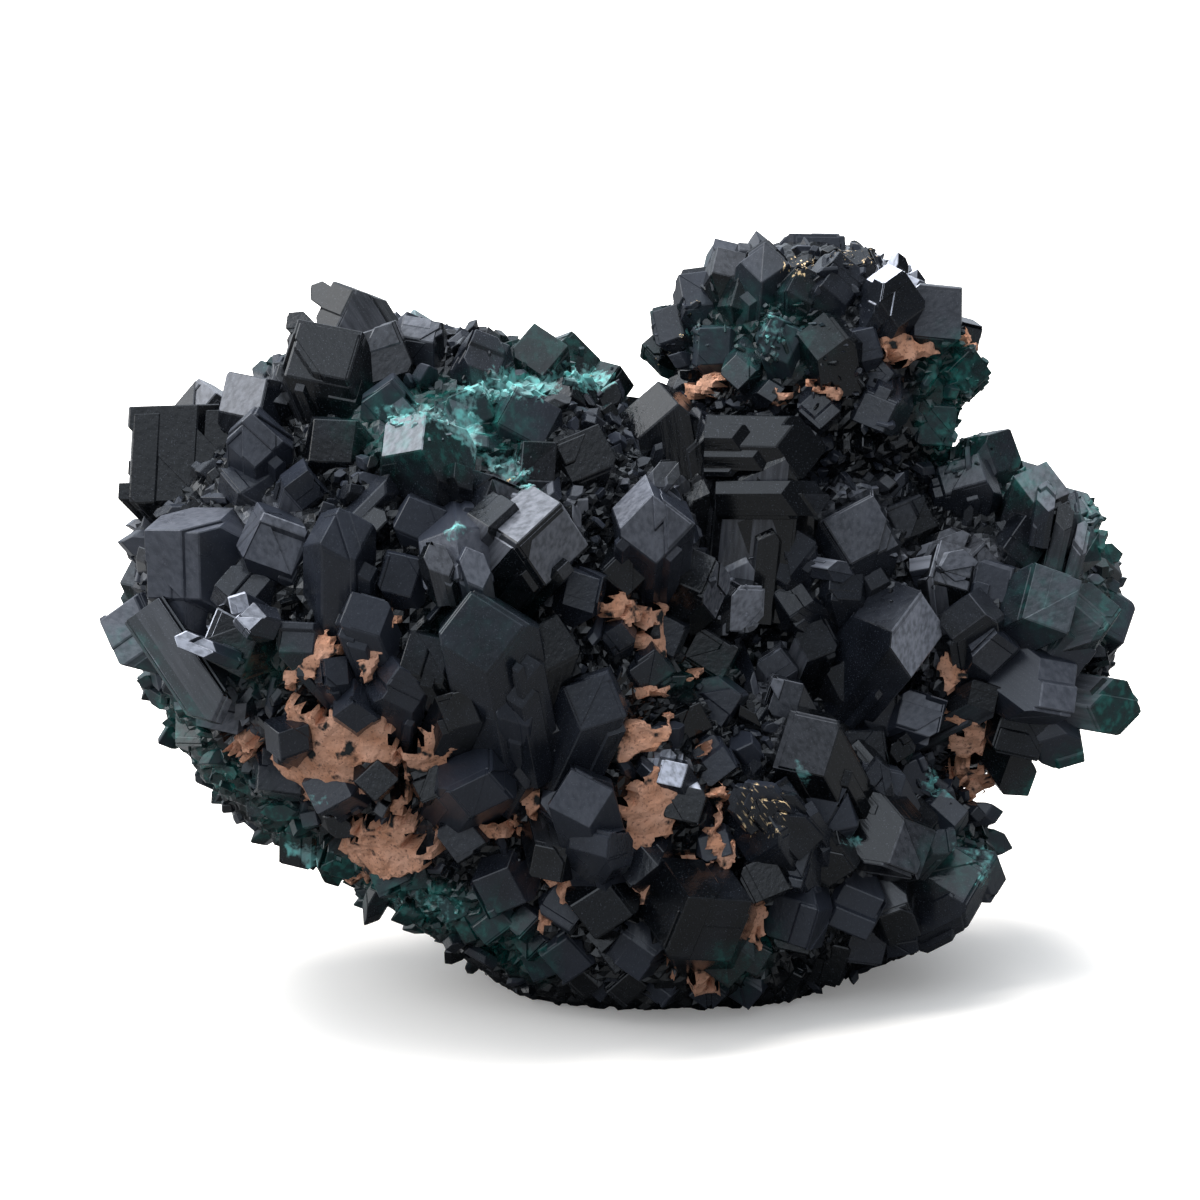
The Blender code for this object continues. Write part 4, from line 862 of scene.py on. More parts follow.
@dataclass(frozen=True)
class Growth:
    """How the crystals grow: the same rules as the part's solids, with more small ones."""
    crown_slope: float = math.tan(math.radians(51.0))
    apex_share: float = 0.62
    root_depth: float = 1.3
    longest: float = 13.0
    uneven: float = 0.11
    default_out: float = 0.30
    step_across: float = 0.36
    step_down: float = 0.22
    step_size: float = 0.66
    middle: tuple = (0.0, 3.0, 22.0)
    spread_reach: float = 60.0
    spread_tries: int = 1500
    spread_wide: tuple = (5.2, 8.4)
    spread_tilt: float = 0.42
    spread_spacing: float = 0.42
    spread_most: int = 59
    lowest_spread: float = 4.5
    steepest_underside: float = -0.72
    edge_clearance: float = 0.4
    widest_at_edge: float = 6.0
    sunk_at_edge: float = 0.34

    def axes(self, direction: np.ndarray, roll: float) -> np.ndarray:
        """Axes of a crystal whose tip points along a direction, turned by roll degrees."""
        tip = direction / np.linalg.norm(direction)
        side = -SIGHT.forward - tip * np.dot(-SIGHT.forward, tip)
        if np.linalg.norm(side) < 1e-3:
            side = SIGHT.up - tip * np.dot(SIGHT.up, tip)
        side = side / np.linalg.norm(side)
        third = np.cross(tip, side)
        turn = math.radians(roll)
        first = side * math.cos(turn) + third * math.sin(turn)
        return np.stack([first, np.cross(tip, first), tip])

    def length_to_body(self, crown: np.ndarray, tip: np.ndarray) -> Optional[float]:
        """How far a crystal reaches down its axis from its crown to be rooted, if it does."""
        for length in np.arange(0.6, self.longest, 0.1):
            if BODY.distance(crown - tip * length) < -self.root_depth:
                return length
        return None

    def make(self, crown: np.ndarray, direction: np.ndarray, roll: float, wide: float,
             thin: float, rng: random.Random) -> Crystal:
        """Root a crystal in the body, leaning it to the surface where its axis would miss.

        Args:
            crown: middle of its crown in mm.
            direction: way that its tip points.
            roll: turn about its axis in degrees.
            wide: width from corner to corner in mm.
            thin: share of the width left from front to back.
            rng: source of the small unevenness of its faces.
        Returns:
            The crystal.
        """
        normal = BODY.normal(crown)
        for lean in (0.0, 0.25, 0.5, 0.75, 1.0):
            axes = self.axes(direction * (1.0 - lean) + normal * lean, roll)
            length = self.length_to_body(crown, axes[2])
            if length is not None:
                break
        if length is None:
            length = self.longest
        crown_shift = tuple(rng.uniform(-self.uneven, self.uneven) for _ in range(3))
        side_shift = tuple(rng.uniform(-self.uneven, self.uneven) for _ in range(6))
        return Crystal(crown, axes, wide, length, thin, crown_shift, side_shift)

    def front(self, rows: Iterable[Grown], rng: random.Random) -> list[Crystal]:
        """Place the crystals of a list, with the small ones grown on their sides.

        Args:
            rows: the crystals as they are seen on the front.
            rng: source of their unevenness.
        Returns:
            The crystals in space.
        """
        crystals = []
        for grown in rows:
            crown = BODY.on_ray(grown.col, grown.row, grown.out * grown.wide)
            lean = math.radians(grown.lean)
            toward = math.radians(grown.toward)
            flat = math.sin(lean) * SIGHT.right + math.cos(lean) * SIGHT.up
            direction = math.cos(toward) * flat - math.sin(toward) * SIGHT.forward
            main = self.make(crown, direction, grown.roll, grown.wide, grown.thin, rng)
            if grown.length:
                main = main._replace(axes=self.axes(direction, grown.roll), length=grown.length)
            crystals.append(main)
            for _ in range(grown.steps):
                turn = rng.uniform(0.0, 2.0 * math.pi)
                across = main.axes[0] * math.cos(turn) + main.axes[1] * math.sin(turn)
                shift = across * self.step_across - main.axes[2] * self.step_down
                crystals.append(self.make(crown + shift * grown.wide, main.axes[2], grown.roll,
                                          grown.wide * self.step_size, grown.thin, rng))
        return crystals

    def clearance(self, point: np.ndarray) -> float:
        """How far the line of sight through a point passes outside the body, in mm."""
        ray = (point - SIGHT.eye) / np.linalg.norm(point - SIGHT.eye)
        return BODY.distance(SIGHT.eye + ray * SIGHT.travel(0.5)[:, None]).min()

    def spread_place(self, rng: random.Random) -> Optional[tuple]:
        """Draw one place for a crystal on the back, a side or the top.

        Args:
            rng: source of the draw.
        Returns:
            The middle of its crown, its direction, width and roll, or None.
        """
        height = rng.uniform(-0.8, 1.0)
        angle = rng.uniform(0.0, 2.0 * math.pi)
        level = math.sqrt(1.0 - height * height)
        ray = np.array([level * math.cos(angle), level * math.sin(angle), height])
        wide = rng.uniform(*self.spread_wide)
        roll = rng.uniform(0.0, 120.0)
        tilt = np.array([rng.gauss(0.0, self.spread_tilt) for _ in range(3)])
        travel = np.arange(self.spread_reach, 0.0, -0.25)
        points = np.array(self.middle) + ray * travel[:, None]
        near = np.nonzero(BODY.distance(points) <= wide * self.default_out)[0]
        crown = points[near[0]]
        normal = BODY.normal(crown)
        if crown[2] < self.lowest_spread or normal[2] < self.steepest_underside:
            return None
        if self.clearance(crown) > self.edge_clearance:
            wide = min(wide, self.widest_at_edge)
            crown = crown - normal * wide * self.sunk_at_edge
        return crown, normal + tilt, wide, roll

    def spread(self, taken: Sequence[Crystal], rng: random.Random) -> list[Crystal]:
        """Spread crystals over the rest of the body, each in the widest gap that is left.

        Args:
            taken: the crystals that are already there.
            rng: source of the draws.
        Returns:
            The new crystals.
        """
        places = [self.spread_place(rng) for _ in range(self.spread_tries)]
        places = [place for place in places if place]
        crowns = np.array([place[0] for place in places])
        widths = np.array([place[2] for place in places])
        gaps = np.full(len(places), np.inf)
        for crystal in taken:
            reach = np.linalg.norm(crowns - crystal.crown, axis=-1) / (widths + crystal.wide)
            gaps = np.minimum(gaps, reach)
        crystals = []
        for _ in range(self.spread_most):
            widest = int(np.argmax(gaps))
            if gaps[widest] < self.spread_spacing:
                break
            crown, direction, wide, roll = places[widest]
            crystals.append(self.make(crown, direction, roll, wide, 1.0, rng))
            reach = np.linalg.norm(crowns - crown, axis=-1) / (widths + wide)
            gaps = np.minimum(gaps, reach)
        return crystals

    def planes(self, crystal: Crystal) -> tuple[np.ndarray, np.ndarray]:
        """Face directions and offsets of a crystal about its crown, along its own axes."""
        radius = crystal.wide / 2.0
        normals = []
        offsets = []
        for index in range(3):
            angle = math.radians(120.0 * index)
            slope = self.crown_slope
            normal = np.array([slope * math.cos(angle), slope * math.sin(angle), 1.0])
            apex = radius * slope * self.apex_share * (1.0 + crystal.crown_shift[index])
            normals.append(normal / np.linalg.norm(normal))
            offsets.append(apex / np.linalg.norm(normal))
        for index in range(6):
            degrees = 30.0 + 60.0 * index
            angle = math.radians(degrees)
            share = crystal.thin if degrees in (90.0, 270.0) else 1.0
            apothem = radius * math.cos(math.radians(30.0)) * share
            normals.append(np.array([math.cos(angle), math.sin(angle), 0.0]))
            offsets.append(apothem * (1.0 + crystal.side_shift[index]))
        normals.append(np.array([0.0, 0.0, -1.0]))
        offsets.append(crystal.length)
        return np.array(normals), np.array(offsets)

    def contains(self, crystal: Crystal, points: np.ndarray, margin: float) -> np.ndarray:
        """Which points in mm lie inside a crystal, or within a margin of it."""
        normals, offsets = self.planes(crystal)
        local = (points - crystal.crown) @ crystal.axes.T
        return np.all(local @ normals.T <= offsets + margin, axis=-1)


GROWTH = Growth()
TRIOS = np.array([(a, b, c) for a in range(10) for b in range(a + 1, 10) for c in range(b + 1, 10)])


@dataclass(frozen=True)
class Cut:
    """How finely a crystal is cut: the width of its bevels and the longest edge of its faces."""
    bevel_share: float = 0.012
    bevel_least: float = 0.03
    bevel_most: float = 0.07
    cell: float = 2.6
    fine_cell: float = 1.3

    def corners(self, crystal: Crystal) -> np.ndarray:
        """Corners of a crystal along its own axes, from where its planes meet."""
        normals, offsets = GROWTH.planes(crystal)
        sets = normals[TRIOS]
        sound = np.abs(np.linalg.det(sets)) > 1e-4
        found = np.linalg.solve(sets[sound], offsets[TRIOS][sound][..., None])[..., 0]
        return found[np.all(found @ normals.T <= offsets + 1e-6, axis=-1)]

    def solid(self, crystal: Crystal, cell: Optional[float] = None) -> tuple[np.ndarray, list]:
        """Make one crystal with bevelled edges.

        Args:
            crystal: the crystal.
            cell: longest edge of its faces in mm, or None to leave them whole.
        Returns:
            Its points along its own axes in mm, and its faces.
        """
        bm = bmesh.new()
        for corner in self.corners(crystal):
            bm.verts.new(corner)
        bmesh.ops.remove_doubles(bm, verts=bm.verts[:], dist=1e-3)
        bmesh.ops.convex_hull(bm, input=bm.verts[:])
        bmesh.ops.dissolve_limit(bm, angle_limit=math.radians(0.5), use_dissolve_boundaries=False,
                                 verts=bm.verts[:], edges=bm.edges[:])
        bmesh.ops.recalc_face_normals(bm, faces=bm.faces[:])
        width = min(max(crystal.wide * self.bevel_share, self.bevel_least), self.bevel_most)
        bmesh.ops.bevel(bm, geom=bm.edges[:], offset=width, offset_type="OFFSET", segments=1,
                        profile=0.5, affect="EDGES", clamp_overlap=True)
        for _ in range(5 if cell else 0):
            long = [edge for edge in bm.edges if edge.calc_length() > cell]
            if not long:
                break
            bmesh.ops.triangulate(bm, faces=bm.faces[:])
            long = [edge for edge in bm.edges if edge.calc_length() > cell]
            bmesh.ops.subdivide_edges(bm, edges=long, cuts=1, use_grid_fill=False)
        bm.verts.index_update()
        points = np.array([vert.co[:] for vert in bm.verts])
        faces = [[vert.index for vert in face.verts] for face in bm.faces]
        bm.free()
        return points, faces


CUT = Cut()


class Batch:
    """Many crystals gathered into one mesh."""

    def __init__(self) -> None:
        """Start empty."""
        self.points: list[np.ndarray] = []
        self.grown: list[np.ndarray] = []
        self.tones: list[np.ndarray] = []
        self.faces: list[list[int]] = []
        self.flats: list[np.ndarray] = []
        self.count = 0
        self.flat_count = 0

    def add(self, crystal: Crystal, tone: float, cell: Optional[float] = None) -> None:
        """Add one crystal.

        Args:
            crystal: the crystal in space.
            tone: its own value between 0 and 1, for its finish.
            cell: longest edge of its faces in mm, or None to leave them whole.
        """
        local, faces = CUT.solid(crystal, cell)
        points = crystal.crown + local @ crystal.axes
        self.points.append(points + shift_into_cad_box(points))
        self.grown.append(local)
        self.tones.append(np.full(len(local), tone))
        self.faces.extend([self.count + index for index in face] for face in faces)
        self.count += len(local)
        corners = local[np.array([face[:3] for face in faces])]
        normals = np.cross(corners[:, 1] - corners[:, 0], corners[:, 2] - corners[:, 0])
        normals /= np.maximum(np.linalg.norm(normals, axis=-1, keepdims=True), 1e-12)
        planes, flats = np.unique(normals.round(1) + 0.0, axis=0, return_inverse=True)
        self.flats.append(self.flat_count + flats.ravel())
        self.flat_count += len(planes)

    def to_object(self, name: str) -> bpy.types.Object:
        """Make the named object that holds every crystal of the batch."""
        points = inside_cad_box(np.concatenate(self.points))
        mesh = bpy.data.meshes.new(name)
        mesh.from_pydata((points * MM).tolist(), [], self.faces)
        write_field(mesh, Field.GROWN, np.concatenate(self.grown))
        write_field(mesh, Field.TONE, np.concatenate(self.tones))
        highest = CAD_BOX[1][2] / MM
        below_top = np.clip((highest - points[:, 2] - 0.3) / 0.6, 0.0, 1.0)
        write_field(mesh, Field.BARE, mark_share(*SIGHT.picture_place(points), SUGAR_MARKS) * below_top)
        flats = mesh.attributes.new(Field.FLAT.value, "INT", "FACE")
        flats.data.foreach_set("value", np.concatenate(self.flats).astype(np.int32))
        thing = bpy.data.objects.new(name, mesh)
        bpy.context.scene.collection.objects.link(thing)
        return thing


def mark_share(cols: np.ndarray, rows: np.ndarray, marks: Sequence[Mark]) -> np.ndarray:
    """How strongly places in the picture are marked, fading over each mark's edge.

    Args:
        cols: columns of the places.
        rows: rows of the places.
        marks: the marks.
    Returns:
        For each place, the largest amount of any mark there.
    """
    share = np.zeros(len(cols))
    for mark in marks:
        reach = mark_reach(cols, rows, mark)
        fade = np.clip((1.35 - reach) / 0.7, 0.0, 1.0)
        share = np.maximum(share, mark.amount * fade * fade * (3.0 - 2.0 * fade))
    return share


def mark_reach(cols: np.ndarray, rows: np.ndarray, mark: Mark) -> np.ndarray:
    """Distance of places from a mark's middle, as a share of its half size."""
    turn = math.radians(mark.turn)
    across = (cols - mark.col) * math.cos(turn) + (rows - mark.row) * math.sin(turn)
    down = (rows - mark.row) * math.cos(turn) - (cols - mark.col) * math.sin(turn)
    return np.hypot(across / mark.across, down / mark.down)


def rough_noise(points: np.ndarray, wave: float, seed: float) -> np.ndarray:
    """Fractal noise between about -1 and 1 at points in mm."""
    shift = Vector((seed, seed * 1.7, seed * 0.6))
    return np.array([noise.fractal(Vector(point) / wave + shift, 0.9, 2.1, 3)
                     for point in points])


class Painter:
    """Stores where a mesh is teal, with painted light shining through its thin rims, dusted or flecked,
    and where paler highlights are painted on its faces.
    """
    marks = {Field.TEAL: TEAL_SHINE_THROUGH_MARKS, Field.DUST: DUST_MARKS, Field.FLECK: FLECK_MARKS}
    elsewhere = {Field.TEAL: (0.42, 0.8), Field.DUST: (0.66, 0.8), Field.FLECK: (0.68, 0.5)}
    highlight_start = 0.35
    highlight_full = 0.75

    def paint_faces(self, mesh: bpy.types.Mesh) -> None:
        """Store for each face how strongly a paler painted highlight lies on it, by its place and the
        way that it looks toward the light.

        The triangles of one flat face of a crystal share one value.
        """
        count = len(mesh.polygons)
        flat = np.empty(count * 3, np.float32)
        mesh.polygons.foreach_get("center", flat)
        centres = flat.reshape(-1, 3).astype(float) / MM
        layer = mesh.attributes.get(Field.FLAT.value)
        if layer and layer.domain == "FACE":
            flats = np.empty(count, np.int32)
            layer.data.foreach_get("value", flats)
            areas = np.empty(count, np.float32)
            mesh.polygons.foreach_get("area", areas)
            whole = np.maximum(np.bincount(flats, weights=areas), 1e-18)
            sums = [np.bincount(flats, weights=areas * along) for along in centres.T]
            centres = (np.array(sums) / whole).T[flats]
        cols, rows = SIGHT.picture_place(centres)
        flat = np.empty(count * 3, np.float32)
        mesh.polygons.foreach_get("normal", flat)
        normals = flat.reshape(-1, 3)
        # Paler colour only on faces turned the way of their mark: a painted highlight, partly sugary
        # faces
        pale = np.zeros(count)
        for side in Side:
            marks = [mark for mark in PALE_HIGHLIGHT_MARKS if mark.side is side]
            if not marks:
                continue
            looking = normals @ np.array(side.value) - self.highlight_start
            looking = np.clip(looking / (self.highlight_full - self.highlight_start), 0.0, 1.0)
            pale = np.maximum(pale, mark_share(cols, rows, marks) * looking)
        layer = mesh.attributes.new(Field.PALE.value, "FLOAT", "FACE")
        layer.data.foreach_set("value", pale.astype(np.float32))

    def paint(self, thing: bpy.types.Object) -> None:
        """Store the four values for an object.

        Args:
            thing: a mesh object, with its vertices in place.
        """
        mesh = thing.data
        self.paint_faces(mesh)
        points = mesh_points(mesh)
        cols, rows = SIGHT.picture_place(points)
        facing = BODY.normal(points) @ -SIGHT.forward
        front = np.clip(0.5 + facing * 4.0, 0.0, 1.0)
        for order, (field, marks) in enumerate(self.marks.items()):
            start, amount = self.elsewhere[field]
            cloud = rough_noise(points, 7.0, 11.0 * (order + 1)) * 0.5 + 0.5
            back = np.clip((cloud - start) * 4.0, 0.0, 1.0) * amount
            share = mark_share(cols, rows, marks)
            write_field(mesh, field, share * front + back * (1.0 - front))


class NodeBench:
    """Short ways to add and link the nodes of one tree."""

    def __init__(self, tree: bpy.types.NodeTree) -> None:
        """Work on a tree."""
        self.tree = tree

    def add(self, kind: str, **settings: object) -> bpy.types.Node:
        """Add a node and set its properties."""
        node = self.tree.nodes.new(kind)
        for name, value in settings.items():
            setattr(node, name, value)
        return node

    def link(self, source: bpy.types.NodeSocket, target: bpy.types.NodeSocket) -> None:
        """Link an output to an input."""
        self.tree.links.new(source, target)

    def set(self, socket: bpy.types.NodeSocket, value: object) -> None:
        """Give an input a value, or link an output to it."""
        if isinstance(value, bpy.types.NodeSocket):
            self.link(value, socket)
        else:
            socket.default_value = value

    def math(self, operation: str, first: object, second: object = 0.0,
             clamp: bool = False) -> bpy.types.NodeSocket:
        """A math node's output for two numbers or sockets."""
        node = self.add("ShaderNodeMath", operation=operation, use_clamp=clamp)
        self.set(node.inputs[0], first)
        self.set(node.inputs[1], second)
        return node.outputs[0]

    def vector_math(self, operation: str, first: object, second: object) -> bpy.types.NodeSocket:
        """A vector math node's output for two vectors or sockets."""
        node = self.add("ShaderNodeVectorMath", operation=operation)
        self.set(node.inputs[0], first)
        self.set(node.inputs[1], second)
        return node.outputs[0]

    def ramp(self, value: object, low: float, high: float, start: float = 0.0,
             end: float = 1.0) -> bpy.types.NodeSocket:
        """A value taken from the range low to high into the range start to end, and kept there."""
        node = self.add("ShaderNodeMapRange", clamp=True)
        self.set(node.inputs["Value"], value)
        self.set(node.inputs["From Min"], low)
        self.set(node.inputs["From Max"], high)
        self.set(node.inputs["To Min"], start)
        self.set(node.inputs["To Max"], end)
        return node.outputs["Result"]

    def mix(self, share: object, first: object, second: object) -> bpy.types.NodeSocket:
        """Two colours mixed by a share."""
        node = self.add("ShaderNodeMix", data_type="RGBA")
        self.set(node.inputs[0], share)
        for socket, value in ((node.inputs[6], first), (node.inputs[7], second)):
            self.set(socket, value if isinstance(value, bpy.types.NodeSocket) else (*value, 1.0))
        return node.outputs[2]

    def noise(self, place: object, scale: float, detail: float = 3.0) -> bpy.types.NodeSocket:
        """Noise at a place, between 0 and 1."""
        node = self.add("ShaderNodeTexNoise")
        self.set(node.inputs["Vector"], place)
        self.set(node.inputs["Scale"], scale)
        self.set(node.inputs["Detail"], detail)
        return node.outputs["Fac"]

    def cells(self, place: object, scale: float) -> bpy.types.Node:
        """A Voronoi texture node at a place."""
        node = self.add("ShaderNodeTexVoronoi")
        self.set(node.inputs["Vector"], place)
        self.set(node.inputs["Scale"], scale)
        return node

    def field(self, field: Field) -> bpy.types.Node:
        """An attribute node that reads one of the meshes' values."""
        return self.add("ShaderNodeAttribute", attribute_name=field.value)

    def bump(self, height: object, strength: float, distance: float,
             normal: Optional[bpy.types.NodeSocket] = None) -> bpy.types.NodeSocket:
        """A bumped normal, on top of another where there is one."""
        node = self.add("ShaderNodeBump")
        self.set(node.inputs["Height"], height)
        self.set(node.inputs["Strength"], strength)
        self.set(node.inputs["Distance"], distance)
        if normal is not None:
            self.link(normal, node.inputs["Normal"])
        return node.outputs["Normal"]


def new_material(name: str) -> tuple[bpy.types.Material, NodeBench, bpy.types.Node]:
    """A new material, its bench and its Principled node."""
    material = bpy.data.materials.new(name)
    material.use_nodes = True
    bench = NodeBench(material.node_tree)
    return material, bench, material.node_tree.nodes["Principled BSDF"]


@dataclass(frozen=True)
class DioptaseFinish:
    """Glassy near-black green crystal: teal, dusted and flecked places, painted light shining through
    teal rims, painted glints, and paler painted highlights on faces turned to the light, partly sugary
    faces.
    """
    deep: Colour = (0.0030, 0.0036, 0.0046)
    slate: Colour = (0.0210, 0.0245, 0.0345)
    teal: Colour = (0.005, 0.048, 0.043)
    bright_teal: Colour = (0.016, 0.150, 0.125)
    dust: Colour = (0.150, 0.460, 0.430)
    dull_dust: Colour = (0.150, 0.270, 0.265)
    # Bluish-white of the painted highlights and reflections, and of sugary faces
    pale: Colour = (0.800, 0.820, 0.920)
    # Colour of the painted glints
    painted_glint: Colour = (0.110, 0.125, 0.150)
    fleck: Colour = (0.86, 0.62, 0.34)
    refraction: float = 1.64
    sheen: float = 0.36
    smooth: float = 0.08
    dull: float = 0.36

    def material(self, name: str) -> bpy.types.Material:
        """Make the material."""
        material, bench, shader = new_material(name)
        place = bench.add("ShaderNodeTexCoord").outputs["Object"]
        place = bench.vector_math("MULTIPLY", place, (1.0 / MM,) * 3)
        grown = bench.field(Field.GROWN).outputs["Vector"]
        tone = bench.field(Field.TONE).outputs["Fac"]
        teal = bench.field(Field.TEAL).outputs["Fac"]
        dust = bench.field(Field.DUST).outputs["Fac"]
        pale = bench.field(Field.PALE).outputs["Fac"]
        fleck = bench.field(Field.FLECK).outputs["Fac"]
        cloud = bench.noise(place, 0.30)
        patch = bench.noise(place, 1.3, 4.0)
        grain = bench.noise(place, 14.0, 3.0)
        stretched = bench.vector_math("MULTIPLY", grown, (3.0, 3.0, 0.35))
        grooves = bench.noise(stretched, 1.0, 4.0)

        body = bench.mix(bench.ramp(bench.math("ADD", tone, cloud), 0.7, 1.35), self.deep, self.slate)
        # Painted glints: small lighter specks scattered over every crystal
        painted_glint = bench.ramp(bench.noise(place, 11.0, 2.0), 0.62, 0.72, 0.0, 0.4)
        body = bench.mix(painted_glint, body, self.painted_glint)
        # Teal, partly the crystals' own blue-green, partly painted light shining through thin rims
        teal_shine_share = bench.math("MULTIPLY", teal, bench.ramp(patch, 0.28, 0.58, 0.25, 1.0))
        teal_colour = bench.mix(bench.ramp(patch, 0.5, 0.72), self.teal, self.bright_teal)
        body = bench.mix(teal_shine_share, body, teal_colour)
        # Painted highlights: paler streaks along the grooves of the marked faces
        pale_highlight_share = bench.math("MULTIPLY", pale, bench.ramp(grooves, 0.36, 0.62, 0.5, 1.0))
        body = bench.mix(pale_highlight_share, body, self.pale)
        crumbs = bench.noise(place, 2.6, 5.0)
        grit = bench.math("ADD", bench.math("MULTIPLY", dust, 0.8), crumbs)
        dust_share = bench.math("MULTIPLY", bench.ramp(grit, 0.92, 1.22), bench.ramp(dust, 0.02, 0.2))
        dust_colour = bench.mix(bench.ramp(patch, 0.42, 0.66), self.dull_dust, self.dust)
        body = bench.mix(dust_share, body, dust_colour)
        spark = bench.noise(bench.vector_math("MULTIPLY", grown, (4.2, 4.2, 0.8)), 1.0, 2.0)
        spark_share = bench.math("MULTIPLY", bench.ramp(spark, 0.59, 0.65),
                                 bench.ramp(bench.math("ADD", fleck, bench.noise(place, 1.6)),
                                            1.12, 1.28))
        spark_share = bench.math("MULTIPLY", spark_share, bench.ramp(fleck, 0.05, 0.2))
        body = bench.mix(spark_share, body, self.fleck)
        bench.link(body, shader.inputs["Base Color"])

        wear = bench.math("ADD", bench.math("MULTIPLY", cloud, 0.6), bench.math("MULTIPLY", tone, 0.6))
        roughness = bench.ramp(wear, 0.25, 0.95, self.smooth, self.dull)
        rough_share = bench.math("MAXIMUM", dust_share, bench.math("MULTIPLY", pale_highlight_share, 0.6))
        roughness = bench.math("MAXIMUM", roughness, bench.math("MULTIPLY", rough_share, 0.75))
        bench.link(roughness, shader.inputs["Roughness"])

        normal = bench.bump(grooves, 0.30, 0.10 * MM)
        normal = bench.bump(grain, 0.25, 0.015 * MM, normal)
        bench.link(normal, shader.inputs["Normal"])
        shader.inputs["IOR"].default_value = self.refraction
        shader.inputs["Specular IOR Level"].default_value = self.sheen
        return material


@dataclass(frozen=True)
class MatrixFinish:
    """Dull, grainy tan to orange-pink matrix."""
    tan: Colour = (0.60, 0.285, 0.165)
    pink: Colour = (0.72, 0.39, 0.26)
    brown: Colour = (0.20, 0.085, 0.050)
    speck: Colour = (0.012, 0.014, 0.014)

    def material(self, name: str) -> bpy.types.Material:
        """Make the material."""
        material, bench, shader = new_material(name)
        place = bench.add("ShaderNodeTexCoord").outputs["Object"]
        place = bench.vector_math("MULTIPLY", place, (1.0 / MM,) * 3)
        cloud = bench.noise(place, 0.7, 4.0)
        grain = bench.noise(place, 6.0, 5.0)
        body = bench.mix(bench.ramp(cloud, 0.35, 0.65), self.tan, self.pink)
        body = bench.mix(bench.ramp(grain, 0.44, 0.26), body, self.brown)
        specks = bench.noise(place, 0.9, 4.0)
        body = bench.mix(bench.ramp(specks, 0.58, 0.66), body, self.speck)
        bench.link(body, shader.inputs["Base Color"])
        shader.inputs["Roughness"].default_value = 0.9
        bench.link(bench.bump(grain, 0.5, 0.10 * MM), shader.inputs["Normal"])
        return material


@dataclass(frozen=True)
class FloorFinish:
    """White floor: it glows to the camera, less near the specimen, which paints shade round its foot,
    and is dark to every other ray, which paints a dark floor into the crystals' reflections and bounce
    light.
    """
    white: Colour = (0.96, 0.90, 0.83)
    grey_in_reflections: Colour = (0.13, 0.13, 0.13)
    near_glow: float = 0.17
    far_glow: float = 0.60
    near: float = 0.020
    far: float = 0.062

    def material(self, name: str) -> bpy.types.Material:
        """Make the material."""
        material, bench, shader = new_material(name)
        seen = bench.add("ShaderNodeLightPath").outputs["Is Camera Ray"]
        # Dark to every ray but the camera's: painted darkness in the crystals' reflections and bounce
        # light
        bench.link(bench.mix(seen, self.grey_in_reflections, self.white), shader.inputs["Base Color"])
        away = bench.add("ShaderNodeVectorMath", operation="LENGTH")
        bench.link(bench.add("ShaderNodeTexCoord").outputs["Object"], away.inputs[0])
        # Glow weaker near the specimen: painted shade round its foot
        glow = bench.ramp(away.outputs["Value"], self.near, self.far, self.near_glow, self.far_glow)
        bench.link(bench.math("MULTIPLY", seen, glow), shader.inputs["Emission Strength"])
        shader.inputs["Emission Color"].default_value = (1.0, 1.0, 1.0, 1.0)
        shader.inputs["Roughness"].default_value = 0.7
        shader.inputs["Specular IOR Level"].default_value = 0.2
        return material


